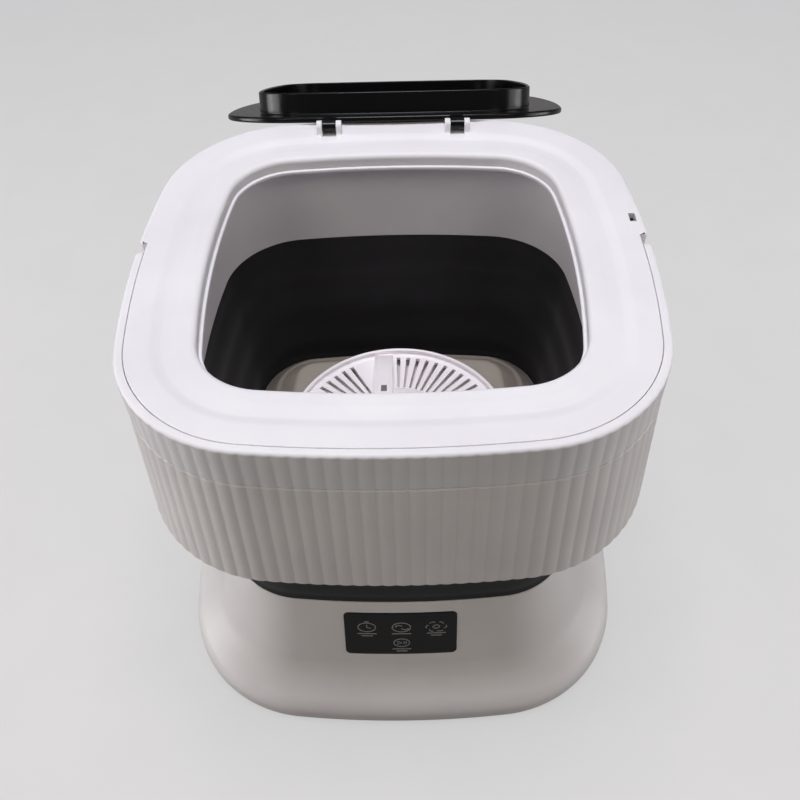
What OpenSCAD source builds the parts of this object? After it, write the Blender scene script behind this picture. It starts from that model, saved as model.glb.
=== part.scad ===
// Collapsible mini washing machine, in millimetres, +Z up.
// The origin is on the floor under the middle of the base, and the front faces -Y.
// Every rounded-square outline belongs to one family: ring(t) is the top outline drawn in by t.

/* [Top outline] */
// Width of the top rim
top_w = 350; // [330:1:380]
// Depth of the top rim
top_d = 345; // [325:1:375]
// Crown radius of the front and back sides
crown_front = 820; // [600:10:1200]
// Crown radius of the left and right sides
crown_side = 680; // [560:10:1200]
// Corner radius
corner_r = 96; // [90:1:110]

/* [Heights] */
// Height of the rubber feet
feet_h = 2.5; // [1.5:0.5:6]
// Height of the base, from its bottom edge to its top edge
base_h = 111.5; // [108:0.5:125]
// Height of the bellows between the base and the tub collar
bellows_h = 136; // [130:1:160]
// Height of the white tub collar
collar_h = 80; // [60:1:90]
// Depth of the neck from the rim to the collar
neck_h = 11; // [9:0.5:14]
// Height of the handle band and the cover's apron
band_h = 30.4; // [26:0.2:36]
// Height of the fluted shell under the band
shell_h = 98; // [80:1:115]

/* [Upper body] */
// Depth of the lid's seat
seat_depth = 1.5; // [1:0.1:2.5]
// Distance from the rim's edge to the seat
seat_t = 24.5; // [22:0.5:28]
// Distance from the rim's edge to the opening
neck_t = 49.7; // [47:0.1:54]
// How far the collar's lip stands into the opening
lip_step = 2.1; // [1:0.1:3]
// Distance from the rim's edge to the inside of the tub collar
tub_t = 32; // [29:0.5:35]
// How far the shell widens towards its lower edge
shell_flare = 5; // [2:0.5:8]
// Number of flutes in a quarter of the outline
flutes_quarter = 32; // [20:1:40]
// Depth of a flute
flute_d = 0.8; // [0.4:0.1:1.2]
// Wall of the cover and the shell
wall = 2.4; // [2:0.1:3]
// Wall of the tub collar
collar_wall = 2.5; // [2:0.1:3.5]

/* [Base] */
// How far the foot stands out from the top outline
foot_out = 12.2; // [8:0.2:18]
// Height of the foot's upright edge
foot_edge_h = 21; // [16:0.5:26]
// Distance inward of the crease between foot and body
crease_t = 15; // [12:0.5:18]
// Height of that crease above the base's bottom edge
crease_h = 42; // [38:0.5:48]
// Distance inward of the base's top edge
body_t = 36; // [34:0.5:38]
// Rounding of the foot's edge
foot_r = 10; // [6:0.5:14]
// Hollow rounding at the crease
crease_r = 30; // [16:1:36]
// Wall of the base
base_wall = 3; // [2.4:0.1:3.6]
// Depth of the channel that holds the bellows
channel_h = 11; // [10:0.5:13]
// Thickness of the bottom plate
bottom_t = 2.5; // [2:0.1:4]

/* [Bellows] */
// Wall of the bellows
bellows_wall = 3; // [2.4:0.1:3.4]
// Depth of a fold
fold_d = 2.2; // [1:0.1:3]
// Number of folds
folds = 3; // [2:1:4]

/* [Lid] */
// Thickness of the lid's plate
lid_t = 3; // [2.4:0.1:3.4]
// Depth of the lid's inner ring
lid_ring_h = 17; // [12:0.5:22]
// Wall of the lid's inner ring
lid_ring_wall = 2.5; // [2:0.1:3.5]
// Gap between the lid's edge and its seat
lid_gap = 1.2; // [0.8:0.1:2]
// Gap between the lid's ring and the collar's lip
ring_gap = 1.5; // [1:0.1:2.5]
// Distance from the rim's rear edge to the lid's hinge axis
hinge_in = 17.5; // [17:0.1:18.5]
// Height of the lid's hinge axis over the rim
hinge_h = 5.1; // [4.8:0.1:5.4]
// Distance of a hinge from the middle
hinge_x = 50.5; // [40:0.5:60]
// Width of a hinge knuckle
knuckle_w = 10.4; // [8:0.2:13]
// Radius of a hinge knuckle
knuckle_r = 4; // [3.5:0.1:4.2]
// Width of a hinge ear
ear_w = 4.2; // [3:0.2:6]
// Diameter of the lid's hinge pins
lid_pin_d = 3; // [2:0.1:4]

/* [Handle] */
// Thickness of the handle band
handle_t = 5; // [4:0.2:5.6]
// Distance of the handle's pivot behind the middle
pivot_y = -2; // [-5:0.5:5]
// Diameter of the handle's pivot pins
pivot_d = 8; // [6:0.5:10]
// How far the handle runs past its pivot
handle_end = 10; // [8:0.5:11]

/* [Pulsator] */
// Outer radius of the pulsator
puls_r = 92; // [86:0.5:96]
// Height of the pulsator's rim
puls_rim_h = 12; // [9:0.5:15]
// Width of the pulsator's rim
puls_rim_w = 3.5; // [3:0.1:5]
// Inner radius of the slots
slot_r0 = 48; // [44:0.5:54]
// Outer radius of the slots
slot_r1 = 84; // [76:0.5:86]
// Number of slot places around the pulsator
slot_n = 60; // [48:4:64]
// Width of a slot at its inner end
slot_w0 = 2; // [1.6:0.1:2.4]
// Width of a slot at its outer end
slot_w1 = 3.4; // [2.6:0.1:3.8]
// Number of blades
blades = 4; // [3:1:4]
// Width of a blade
blade_w = 16; // [12:0.5:18]
// Distance of a blade beside the middle
blade_off = 13; // [9:0.5:15]
// Height of a blade over the disc
blade_h = 9; // [6:0.5:12]
// Height of the plateau under the pulsator over the base's top edge
plateau_h = 33; // [30:0.5:36]

/* [Drive] */
// Diameter of the drive shaft
shaft_d = 10; // [8:0.5:12]
// Outer diameter of the bearings
bearing_d = 30; // [26:0.5:32]
// Width of a bearing
bearing_w = 9; // [7:0.5:10]
// Length of the bearing housing's tube
housing_tube_h = 38; // [36:0.5:42]
// Radius of the driven pulley
pulley_r = 48; // [42:0.5:50]
// Radius of the motor's pulley
motor_pulley_r = 8; // [7:0.5:10]
// Width of both pulleys
pulley_w = 12; // [10:0.5:14]
// Thickness of the belt
belt_t = 2.4; // [1.6:0.1:3]
// Width of the belt
belt_w = 7; // [5:0.5:8]
// Distance from the drive shaft to the motor
motor_x = 86; // [84:0.5:90]
// Diameter of the motor
motor_d = 58; // [50:1:62]
// Length of the motor
motor_h = 52; // [44:1:56]
// Diameter of the motor's shaft
motor_shaft_d = 6; // [5:0.5:8]
// Thickness of the motor bracket
bracket_t = 2.5; // [2:0.1:4]

/* [Panel and connections] */
// Width of the touch panel
panel_w = 88; // [70:1:100]
// Height of the touch panel along the wall
panel_h = 45; // [38:0.5:46]
// Corner radius of the touch panel
panel_r = 4; // [2:0.5:8]
// Distance from the base's top edge to the panel, along the wall
panel_drop = 10; // [10:0.5:13]
// Outer diameter of the power inlet
inlet_d = 14; // [12:0.5:18]
// Diameter of the power inlet's socket
inlet_bore = 6; // [5:0.1:7]
// Depth of the power inlet's socket
inlet_depth = 9; // [7:0.5:10]
// Distance of the power inlet left of the middle
inlet_x = -60; // [-66:1:-50]
// Height of the power inlet and the drain spigot
outlet_z = 60; // [56:1:64]
// Outer diameter of the drain spigot
spigot_d = 19; // [16:0.5:22]
// Bore of the drain pipe
drain_bore = 14; // [12:0.5:14]
// Length of the drain spigot outside the base
spigot_l = 22; // [16:0.5:24]
// Distance of the drain right of the middle
drain_x = 45; // [42:0.5:52]
// Distance of the drain's inlet behind the middle
drain_y = 45; // [40:0.5:50]

/* [Fasteners and clearances] */
// Diameter of a screw
screw_d = 3; // [2.5:0.1:4]
// Diameter of a screw's head
screw_head_d = 6; // [5:0.1:7]
// Height of a screw's head
screw_head_h = 2; // [1.5:0.1:2.5]
// Diameter of a screw boss
boss_d = 8; // [7.5:0.1:9]
// Diameter of a rubber foot
foot_d = 20; // [16:1:24]
// Gap between neighbouring pieces of one body
gap = 0.3; // [0.25:0.01:0.35]
// Radial clearance of a running fit
run_fit = 0.05; // [0.03:0.01:0.08]
// Radial clearance of a fixed pin or screw
fixed_fit = 0.02; // [0.01:0.01:0.03]
// Gap between the handle and the cover
handle_gap = 1.2; // [1:0.1:1.6]

/* [Hidden] */
$fn = 48;
eps = 0.01;

// How deep a screw bites into its boss
screw_bite = 4 * screw_d;

// Colours, as the photograph shows them
white = "#ece9ee";
shade_white = "#dcd8db";
black_rubber = "#2b2a2d";
smoke = "#1b1a1e";
steel = "#b9bcc0";
dark_plastic = "#3a3b40";

// Heights
base_top_z = feet_h + base_h;
collar_z = base_top_z + bellows_h;
collar_top_z = collar_z + collar_h;
rim_z = collar_top_z + neck_h;
seat_z = rim_z - seat_depth;
band_z = rim_z - band_h;
band_gap = 0.6;
shell_top_z = band_z - band_gap;
cover_z = shell_top_z + gap;
plate_t = 3;
plate_z = seat_z - plate_t;
shell_z = shell_top_z - shell_h;

// Points and directions in a plane
function dir(a) = [cos(a), sin(a)];
function unit(v) = v / norm(v);
function side_of(v) = [v[1], -v[0]];
function mix(a, b, k) = a + (b - a) * k;

// The corner arc's centre is inside the crown arcs by their radii less the corner's
side_c = [top_w / 2 - crown_side, 0];
back_c = [0, top_d / 2 - crown_front];
span = norm(back_c - side_c);
side_reach = crown_side - corner_r;
back_reach = crown_front - corner_r;
along = (side_reach * side_reach - back_reach * back_reach + span * span) / (2 * span);
lift = sqrt(side_reach * side_reach - along * along);
toward = (back_c - side_c) / span;
corner_c = side_c + toward * along - side_of(toward) * lift;

// Angles at which the side crown meets the corner and the corner meets the back crown
side_a = atan2((corner_c - side_c)[1], (corner_c - side_c)[0]);
back_a = atan2((corner_c - back_c)[1], (corner_c - back_c)[0]);

// A quarter of the outline drawn in by t, from the +X side to the +Y side
crown_steps = 2;
corner_steps = 8;
function quarter(t) = concat(
    [for (i = [0 : crown_steps - 1]) side_c + (crown_side - t) * dir(side_a * i / crown_steps)],
    [for (i = [0 : corner_steps - 1])
        corner_c + (corner_r - t) * dir(mix(side_a, back_a, i / corner_steps))],
    [for (i = [0 : crown_steps - 1])
        back_c + (crown_front - t) * dir(mix(back_a, 90, i / crown_steps))]);
function half(t) = let (q = quarter(t), n = len(q)) concat(q, [[0, top_d / 2 - t]],
    [for (i = [n - 1 : -1 : 1]) [-q[i][0], q[i][1]]]);
function ring(t) = let (h = half(t)) concat(h, [for (p = h) -p]);

// A point of the outline's first quarter at arc length s, drawn in by t
side_len = crown_side * side_a * PI / 180;
corner_len = corner_r * (back_a - side_a) * PI / 180;
back_len = crown_front * (90 - back_a) * PI / 180;
quarter_len = side_len + corner_len + back_len;
function at_length(s, t) =
    s < side_len ? side_c + (crown_side - t) * dir(s / crown_side * 180 / PI) :
    s < side_len + corner_len ?
        corner_c + (corner_r - t) * dir(side_a + (s - side_len) / corner_r * 180 / PI) :
    back_c + (crown_front - t) * dir(back_a + (s - side_len - corner_len) / crown_front * 180 / PI);

// A point at share k of the quarter in quadrant q, counted from +X towards +Y
function at_share(q, k, t) =
    let (p = at_length(quarter_len * (q % 2 == 0 ? k : 1 - k), t))
    [q == 1 || q == 2 ? -p[0] : p[0], q >= 2 ? -p[1] : p[1]];

// The fluted outline: crests at t, grooves flute_d deeper, one groove on each axis
function fluted(t) = [for (q = [0 : 3]) for (j = [0 : 2 * flutes_quarter - 1])
    at_share(q, j / (2 * flutes_quarter), t + (j % 2 == 0 ? flute_d : 0))];

// Rings stacked along a profile of [t, z], with flat ends
module loft(rings, heights) {
    n = len(rings);
    m = len(rings[0]);
    points = [for (i = [0 : n - 1]) for (p = rings[i]) [p[0], p[1], heights[i]]];
    sides = [for (i = [0 : n - 2]) for (j = [0 : m - 1])
        [i * m + j, (i + 1) * m + j, (i + 1) * m + (j + 1) % m, i * m + (j + 1) % m]];
    ends = [[for (j = [0 : m - 1]) j], [for (j = [m - 1 : -1 : 0]) (n - 1) * m + j]];
    polyhedron(points, concat(sides, ends), convexity = 8);
}

// A closed section of [t, z] carried once round the outline
module sweep(rings, heights) {
    n = len(rings);
    m = len(rings[0]);
    points = [for (i = [0 : n - 1]) for (p = rings[i]) [p[0], p[1], heights[i]]];
    faces = [for (i = [0 : n - 1]) for (j = [0 : m - 1])
        [i * m + j, ((i + 1) % n) * m + j, ((i + 1) % n) * m + (j + 1) % m, i * m + (j + 1) % m]];
    polyhedron(points, faces, convexity = 8);
}
module ring_sweep(section) {
    sweep([for (p = section) ring(p[0])], [for (p = section) p[1]]);
}
module ring_loft(profile) {
    loft([for (p = profile) ring(p[0])], [for (p = profile) p[1]]);
}

// A straight ring between two insets
module ring_band(outer_t, inner_t, z, h) {
    translate([0, 0, z])
        linear_extrude(h)
            difference() {
                polygon(ring(outer_t));
                polygon(ring(inner_t));
            }
}

// An arc of radius r that rounds the corner b of a path a-b-c
function rounded(a, b, c, r, n = 4) =
    let (u = unit(a - b), v = unit(c - b), half_a = acos(u * v) / 2, d = r / tan(half_a),
        m = b + unit(u + v) * r / sin(half_a), p = b + u * d - m, q = b + v * d - m,
        a0 = atan2(p[1], p[0]), turn = atan2(p[0] * q[1] - p[1] * q[0], p * q))
    [for (i = [0 : n]) m + r * dir(a0 + turn * i / n)];

// Screws stand at these shares of each quadrant
screw_shares = [0.18, 0.82];
function screw_points(t) = [for (q = [0 : 3]) for (k = screw_shares) at_share(q, k, t)];

// A pan-head screw with its head's underside at the origin and its shank upward
module screw(length) {
    cylinder(d = screw_d, h = length);
    translate([0, 0, -screw_head_h])
        cylinder(d = screw_head_d, h = screw_head_h);
}
module place(points, z) {
    for (p = points)
        translate([p[0], p[1], z])
            children();
}

// Base: its outer corners, and the same path moved in by the wall
foot_corner = [-foot_out, feet_h];
edge_corner = [-foot_out, feet_h + foot_edge_h];
crease_corner = [crease_t, feet_h + crease_h];
top_corner = [body_t, base_top_z];
slope_dir = unit(crease_corner - edge_corner);
wall_dir = unit(top_corner - crease_corner);
wall_tilt = atan2(wall_dir[0], wall_dir[1]);
function mitre(p, n1, n2, w) = p + (n1 + n2) * w / (1 + n1 * n2);
edge_in = mitre(edge_corner, [1, 0], side_of(slope_dir), base_wall);
crease_in = mitre(crease_corner, side_of(slope_dir), side_of(wall_dir), base_wall);
function wall_at(z, w) =
    crease_t + (z - crease_corner[1]) * wall_dir[0] / wall_dir[1] + w / side_of(wall_dir)[0];
ledge_z = base_top_z - channel_h;
ledge_t = body_t + 16;
ledge_h = 3;

function base_outer() = concat([foot_corner],
    rounded(foot_corner, edge_corner, crease_corner, foot_r),
    rounded(edge_corner, crease_corner, top_corner, crease_r), [top_corner]);
function base_inner() =
    let (top_in = [wall_at(base_top_z, base_wall), base_top_z], foot_in = foot_corner + [base_wall, 0],
        under = ledge_z - ledge_h, path = concat(
        rounded(top_in, crease_in, edge_in, crease_r + base_wall),
        rounded(crease_in, edge_in, foot_in, foot_r - base_wall)))
    concat([top_in, [wall_at(ledge_z, base_wall), ledge_z], [ledge_t, ledge_z], [ledge_t, under],
        [wall_at(under, base_wall), under]], path, [foot_in]);

// The front wall's own frame: origin at the panel's top edge, X across, Y up the wall
module on_front_wall() {
    z = base_top_z - panel_drop * wall_dir[1];
    translate([0, -(top_d / 2 - wall_at(z, 0)), z])
        rotate([90 - wall_tilt, 0, 0])
            children();
}
// A plate of w by h with corners of radius r, through the wall at the panel's place
module rounded_rectangle(w, h, r) {
    square([w - 2 * r, h], center = true);
    square([w, h - 2 * r], center = true);
    for (x = [-1, 1])
        for (y = [-1, 1])
            translate([x * (w / 2 - r), y * (h / 2 - r)])
                circle(r);
}
module panel_prism(w, h, r, depth) {
    on_front_wall()
        translate([0, -panel_h / 2, -depth])
            linear_extrude(depth * 2)
                rounded_rectangle(w, h, r);
}

// A slab that follows the base's upright wall from z0 to z1, between two depths
module wall_slab(out, depth, z0, z1) {
    ring_sweep([[wall_at(z0, out), z0], [wall_at(z1, out), z1], [wall_at(z1, depth), z1],
        [wall_at(z0, depth), z0]]);
}
panel_proud = 0.4;
panel_t = 2.2;
panel_margin = 4;
panel_z1 = base_top_z - (panel_drop - 2) * wall_dir[1];
panel_z0 = base_top_z - (panel_drop + panel_h + 2) * wall_dir[1];

rear_wall_y = top_d / 2 - wall_at(outlet_z, base_wall);
rear_face_y = top_d / 2 - wall_at(outlet_z, 0);
flange_t = 2;
flange_w = 4;
shoulder_w = 1.5;
shoulder_l = 1.5;
grip_l = 8;

// How far a round flange stands behind the rear wall's middle, as that wall leans and curves
function flange_back(x, d) = gap + (d / 2 + flange_w) * tan(wall_tilt)
    + pow(abs(x) + d / 2 + flange_w, 2) / 2 / crown_front;

bottom_inset = -foot_out + base_wall + gap;
bottom_boss_t = 3;
bottom_boss_z = feet_h + bottom_t + gap;
bottom_boss_h = foot_edge_h + 5.4;

module base_housing() {
    color(white)
        difference() {
            union() {
                ring_sweep(concat(base_outer(), base_inner()));
                place(screw_points(bottom_boss_t), bottom_boss_z)
                    cylinder(d = boss_d, h = bottom_boss_h);
            }
            intersection() {
                panel_prism(panel_w + 2 * gap, panel_h + 2 * gap, panel_r + gap, 12);
                wall_slab(-8, panel_t - panel_proud + gap, panel_z0 - 4, panel_z1 + 4);
            }
            panel_prism(panel_w - 2 * panel_margin, panel_h - 2 * panel_margin, panel_r / 2, 12);
            place(screw_points(bottom_boss_t), bottom_boss_z - eps)
                cylinder(d = screw_d + 2 * fixed_fit, h = bottom_boss_h - base_wall);
            place(screw_points(ledge_screw_t), ledge_z - ledge_h - eps)
                cylinder(d = screw_d + 2 * fixed_fit, h = ledge_h + 2 * eps);
            translate([inlet_x, rear_wall_y - 10, outlet_z])
                rotate([-90, 0, 0])
                    cylinder(d = inlet_d + 2 * gap, h = 30);
            translate([drain_x, rear_wall_y - 10, outlet_z])
                rotate([-90, 0, 0])
                    cylinder(d = spigot_d + 2 * shoulder_w + 2 * gap, h = 30);
        }
}

feet_t = 18;
module bottom_plate() {
    color(shade_white)
        difference() {
            translate([0, 0, feet_h])
                linear_extrude(bottom_t)
                    polygon(ring(bottom_inset));
            place(screw_points(bottom_boss_t), 0)
                cylinder(d = screw_d + 2 * fixed_fit, h = 20);
            place(foot_points(), 0)
                cylinder(d = foot_stem_d + 2 * fixed_fit, h = 20);
            for (x = [-5 : 5])
                translate([motor_at[0] + x * 7 - 1.5, motor_at[1] - 20, 0])
                    cube([3, 40, 20]);
        }
}

foot_stem_d = foot_d / 2;
function foot_points() = [for (q = [0 : 3]) at_share(q, 0.5, feet_t)];
module rubber_feet() {
    color(dark_plastic)
        place(foot_points(), 0) {
            cylinder(d = foot_d, h = feet_h);
            cylinder(d = foot_stem_d, h = feet_h + bottom_t);
        }
}

module bottom_screws() {
    color(steel)
        place(screw_points(bottom_boss_t), feet_h)
            screw(bottom_t + screw_bite);
}

// Tub floor: a sloped tray with a plateau that lifts the pulsator clear of the motor
floor_t = 3;
floor_edge_t = body_t + base_wall + 4.2;
step_t = floor_edge_t + 17;
step_h = 17;
plateau_t = 84;
plateau_z = base_top_z + plateau_h;
floor_z = base_top_z + gap;
ledge_screw_t = floor_edge_t + 5;
module tub_floor() {
    color(shade_white)
        difference() {
            union() {
                ring_loft([[plateau_t, plateau_z - floor_t], [step_t + 1, floor_z + step_h - floor_t],
                    [floor_edge_t + 9, floor_z], [floor_edge_t, floor_z], [floor_edge_t, floor_z + 2],
                    [floor_edge_t + 2, floor_z + 3.2], [step_t - 2, floor_z + step_h - 1.2],
                    [step_t, floor_z + step_h], [step_t + 3, floor_z + step_h + 0.4],
                    [plateau_t, plateau_z]]);
                for (p = bracket_points)
                    translate([p[0], p[1], bracket_z + bracket_t + gap])
                        cylinder(d = boss_d, h = plateau_z - floor_t - bracket_z - bracket_t - gap + 1);
            }
            translate([0, 0, plateau_z - floor_t - 1])
                cylinder(d = (housing_d + 2 * fixed_fit) / cos(180 / $fn), h = floor_t + 2);
            translate([drain_x, drain_y, plateau_z - floor_t - 1])
                cylinder(d = (pipe_d + 2 * fixed_fit) / cos(180 / $fn), h = floor_t + 2);
            for (p = bracket_points)
                translate([p[0], p[1], bracket_z])
                    cylinder(d = screw_d + 2 * fixed_fit, h = 16);
            place(screw_points(ledge_screw_t), floor_z - eps)
                cylinder(d = screw_d + 2 * fixed_fit, h = 2.4);
        }
}
module floor_screws() {
    color(steel)
        place(screw_points(ledge_screw_t), ledge_z - ledge_h)
            screw(channel_h + ledge_h + 2);
}

// The clamp ring presses the bellows' toe down onto the ledge
toe_h = 4;
neck_in = body_t + base_wall + 0.6;
clamp_t = neck_in + bellows_wall + gap;
module lower_clamp_ring() {
    color(dark_plastic)
        difference() {
            ring_band(clamp_t, ledge_t - 1, ledge_z + toe_h + 2 * gap, channel_h - toe_h - 2 * gap);
            place(screw_points(ledge_screw_t), ledge_z)
                cylinder(d = screw_d + 2 * fixed_fit, h = channel_h + 1);
        }
}

// Bellows: a thick rubber wall with a toe at the bottom, a flange at the top and folds between
bellows_top_t = tub_t - bellows_wall;
top_flange_t = tub_t - 9;
flange_h = 3.2;
clamp_screw_t = bellows_top_t - gap - screw_head_d / 2 - gap;
bellows_z0 = base_top_z + 6;
bellows_z1 = collar_z - 12;
function bellows_t(k) = mix(neck_in - 2.2, bellows_top_t, k);
function fold_profile(wall_in) = [for (i = [0 : 2 * folds])
    let (k = i / (2 * folds)) [bellows_t(k) + wall_in + (i % 2 == 1 ? fold_d : 0),
        mix(bellows_z0, bellows_z1, k)]];
module bellows() {
    inner = fold_profile(bellows_wall);
    toe_z = ledge_z + gap;
    color(black_rubber)
        difference() {
            ring_sweep(concat([[neck_in, toe_z], [neck_in, base_top_z + 0.6]], fold_profile(0),
                [[bellows_top_t, collar_z - gap - flange_h], [top_flange_t, collar_z - gap - flange_h],
                    [top_flange_t, collar_z - gap], [tub_t, collar_z - gap]],
                [for (i = [len(inner) - 1 : -1 : 0]) inner[i]],
                [[neck_in + bellows_wall, base_top_z + 0.6], [neck_in + bellows_wall, toe_z + toe_h],
                    [neck_in + bellows_wall + 3.5, toe_z + toe_h], [neck_in + bellows_wall + 3.5, toe_z]]));
            place(screw_points(clamp_screw_t), collar_z - gap - flange_h - 1)
                cylinder(d = screw_d + 2 * fixed_fit, h = flange_h + 2);
        }
}

clamp_h = 4;
module upper_clamp_ring() {
    color(dark_plastic)
        difference() {
            ring_band(top_flange_t, bellows_top_t - gap, collar_z - 2 * gap - flange_h - clamp_h, clamp_h);
            place(screw_points(clamp_screw_t), collar_z - 20)
                cylinder(d = screw_d + 2 * fixed_fit, h = 40);
        }
}
module clamp_screws() {
    color(steel)
        place(screw_points(clamp_screw_t), collar_z - 2 * gap - flange_h - clamp_h)
            screw(clamp_h + flange_h + 2 * gap + collar_flange_h);
}

// Tub collar: the white inner wall, with a foot flange and a top flange whose edge is the lip
collar_flange_h = 3;
top_flange_out = 20;
lip_t = neck_t + lip_step;
collar_screw_t = tub_t - collar_wall - 5;
module tub_collar() {
    z0 = collar_z;
    z1 = collar_top_z;
    color(white)
        difference() {
            ring_sweep([[top_flange_t, z0], [top_flange_t, z0 + collar_flange_h],
                [tub_t - collar_wall, z0 + collar_flange_h], [tub_t - collar_wall, z1 - collar_flange_h],
                [top_flange_out, z1 - collar_flange_h], [top_flange_out, z1], [lip_t - 1, z1],
                [lip_t, z1 - 1], [lip_t, z1 - collar_flange_h], [tub_t + 6, z1 - collar_flange_h],
                [tub_t + 1.8, z1 - collar_flange_h - 1.8], [tub_t, z1 - collar_flange_h - 6], [tub_t, z0]]);
            place(screw_points(clamp_screw_t), z0 - 1)
                cylinder(d = screw_d + 2 * fixed_fit, h = collar_flange_h + 2);
            place(screw_points(collar_screw_t), z1 - collar_flange_h - 1)
                cylinder(d = screw_d + 2 * fixed_fit, h = collar_flange_h + 2);
        }
}
module collar_screws() {
    color(steel)
        place(screw_points(collar_screw_t), collar_top_z - collar_flange_h)
            screw(plate_z - gap - collar_top_z + collar_flange_h);
}

// Outer shell: the fluted skirt, which widens downward, with an inner flange at its top
shell_flange_h = 3;
shell_flange_t = 18;
shell_screw_t = 12;
module outer_shell() {
    in_top = flute_d + wall;
    in_low = in_top - shell_flare * (1 - shell_flange_h / shell_h);
    color(shade_white)
        difference() {
            loft([fluted(-shell_flare), fluted(0)], [shell_z, shell_top_z]);
            loft([ring(in_low - 2 * shell_flare / shell_h), ring(in_top)],
                [shell_z - 2, shell_top_z - shell_flange_h]);
            translate([0, 0, shell_top_z - shell_flange_h - 1])
                linear_extrude(shell_flange_h + 2)
                    polygon(ring(shell_flange_t));
            place(screw_points(shell_screw_t), shell_top_z - shell_flange_h - 1)
                cylinder(d = screw_d + 2 * fixed_fit, h = shell_flange_h + 2);
        }
}
module shell_screws() {
    color(steel)
        place(screw_points(shell_screw_t), shell_top_z - shell_flange_h)
            screw(shell_flange_h + band_gap + screw_bite);
}

// Top cover: seat and neck inside, apron at the rear, and a step that the handle lies in
handle_r = band_h / 2;
pivot_z = band_z + handle_r;
recess_t = handle_t + handle_gap;
sweep_r = norm([handle_end, handle_r]);
notch_y = pivot_y + sweep_r + 0.6;
far = 400;
module behind(y) {
    translate([-far / 2, y])
        square([far, far]);
}
module cover_outline() {
    polygon(ring(recess_t));
    intersection() {
        polygon(fluted(0));
        behind(notch_y);
    }
}
module cover_hollow() {
    polygon(ring(recess_t + wall));
    intersection() {
        polygon(ring(flute_d + wall));
        behind(notch_y + wall);
    }
}
slot_at = [top_w / 2 - 8, 36];
hook_slot = [4.5, 9];
module top_cover() {
    color(white)
        difference() {
            union() {
                difference() {
                    translate([0, 0, cover_z])
                        linear_extrude(rim_z - cover_z)
                            cover_outline();
                    translate([0, 0, shell_top_z - 1])
                        linear_extrude(plate_z - shell_top_z + 1)
                            cover_hollow();
                }
                ring_band(neck_t - wall, neck_t, collar_top_z + gap, plate_z - collar_top_z);
                place(screw_points(shell_screw_t), cover_z)
                    cylinder(d = boss_d, h = plate_z - cover_z + 1);
                place(screw_points(collar_screw_t), collar_top_z + gap)
                    cylinder(d = boss_d, h = plate_z - collar_top_z + 1);
                for (x = [-1, 1])
                    translate([x * (top_w / 2 - recess_t - pin_len / 2 - 0.5), pivot_y, pivot_z])
                        rotate([0, 90, 0])
                            cylinder(d = pivot_d + 5, h = pin_len, center = true);
                for (x = [-1, 1])
                    translate([x * (top_w / 2 - recess_t - pin_len / 2 - 0.5), pivot_y,
                        (pivot_z + plate_z) / 2])
                        cube([pin_len, pivot_d + 5, plate_z - pivot_z + 1], center = true);
                for (x = [-1, 1])
                    for (e = [-1, 1])
                        translate([x * hinge_x + e * (knuckle_w / 2 + gap + ear_w / 2), 0, 0])
                            hinge_ear();
            }
            translate([0, 0, seat_z])
                linear_extrude(20)
                    seat_outline();
            translate([0, 0, plate_z - 20])
                linear_extrude(60)
                    polygon(ring(neck_t));
            place(screw_points(shell_screw_t), shell_top_z - 1)
                cylinder(d = screw_d + 2 * fixed_fit, h = 14);
            place(screw_points(collar_screw_t), collar_top_z - 1)
                cylinder(d = screw_d + 2 * fixed_fit, h = plate_z - collar_top_z + 1);
            translate([slot_at[0] - hook_slot[0] / 2, slot_at[1] - hook_slot[1] / 2, shell_top_z])
                cube([hook_slot[0], hook_slot[1], 60]);
            translate([-far / 2, pivot_y, pivot_z])
                rotate([0, 90, 0])
                    cylinder(d = pivot_d + 2 * fixed_fit, h = far);
            translate([-far / 2, hinge_y, rim_z + hinge_h])
                rotate([0, 90, 0])
                    cylinder(d = lid_pin_d + 2 * fixed_fit, h = far);
        }
}
// The seat, with a notch behind it for each hinge knuckle
module seat_outline() {
    polygon(ring(seat_t));
    for (x = [-1, 1])
        translate([x * hinge_x - knuckle_w / 2 - gap, top_d / 2 - seat_t - 20])
            square([knuckle_w + 2 * gap, hinge_y - top_d / 2 + seat_t + 22]);
}
// A hinge ear: a round top about the pin, on a foot that stands on the rim
module hinge_ear() {
    r = knuckle_r + 0.3;
    translate([-ear_w / 2, hinge_y, 0])
        rotate([90, 0, 90])
            linear_extrude(ear_w) {
                translate([0, rim_z + hinge_h])
                    circle(r);
                translate([-r, rim_z - 1])
                    square([2 * r, hinge_h + 1]);
            }
}

// Handle: a fluted band round the front half, with ends rounded about the pivots
module carry_handle() {
    color(white)
        difference() {
            intersection() {
                translate([0, 0, band_z])
                    linear_extrude(band_h)
                        difference() {
                            polygon(fluted(0));
                            polygon(ring(handle_t));
                        }
                translate([-far / 2, pivot_y, pivot_z])
                    rotate([90, 0, 90])
                        linear_extrude(far)
                            handle_side();
            }
            translate([-far / 2, pivot_y, pivot_z])
                rotate([0, 90, 0])
                    cylinder(d = pivot_d + 2 * run_fit, h = far);
        }
}
// The handle seen from the side, about the pivot: its lower end stays inside the band's half height
module handle_side() {
    top_r = 3;
    intersection() {
        union() {
            translate([-far, -handle_r])
                square([far, 2 * handle_r]);
            square([handle_end - top_r, handle_r]);
            square([handle_end, handle_r - top_r]);
            translate([handle_end - top_r, handle_r - top_r])
                circle(top_r);
            circle(handle_r);
        }
        translate([-far, -far / 2])
            square([far + handle_end, far]);
    }
}
// Pivot pins: pressed into the cover's bosses, with a low head outside the handle
pin_len = 12;
module handle_pivot_pins() {
    reach = top_w / 2 - recess_t - 0.5;
    color(steel)
        for (x = [-1, 1])
            translate([x * (reach - pin_len + 1), pivot_y, pivot_z])
                rotate([0, x * 90, 0])
                    cylinder(d = pivot_d, h = pin_len + recess_t - flute_d - 1.5);
}

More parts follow.
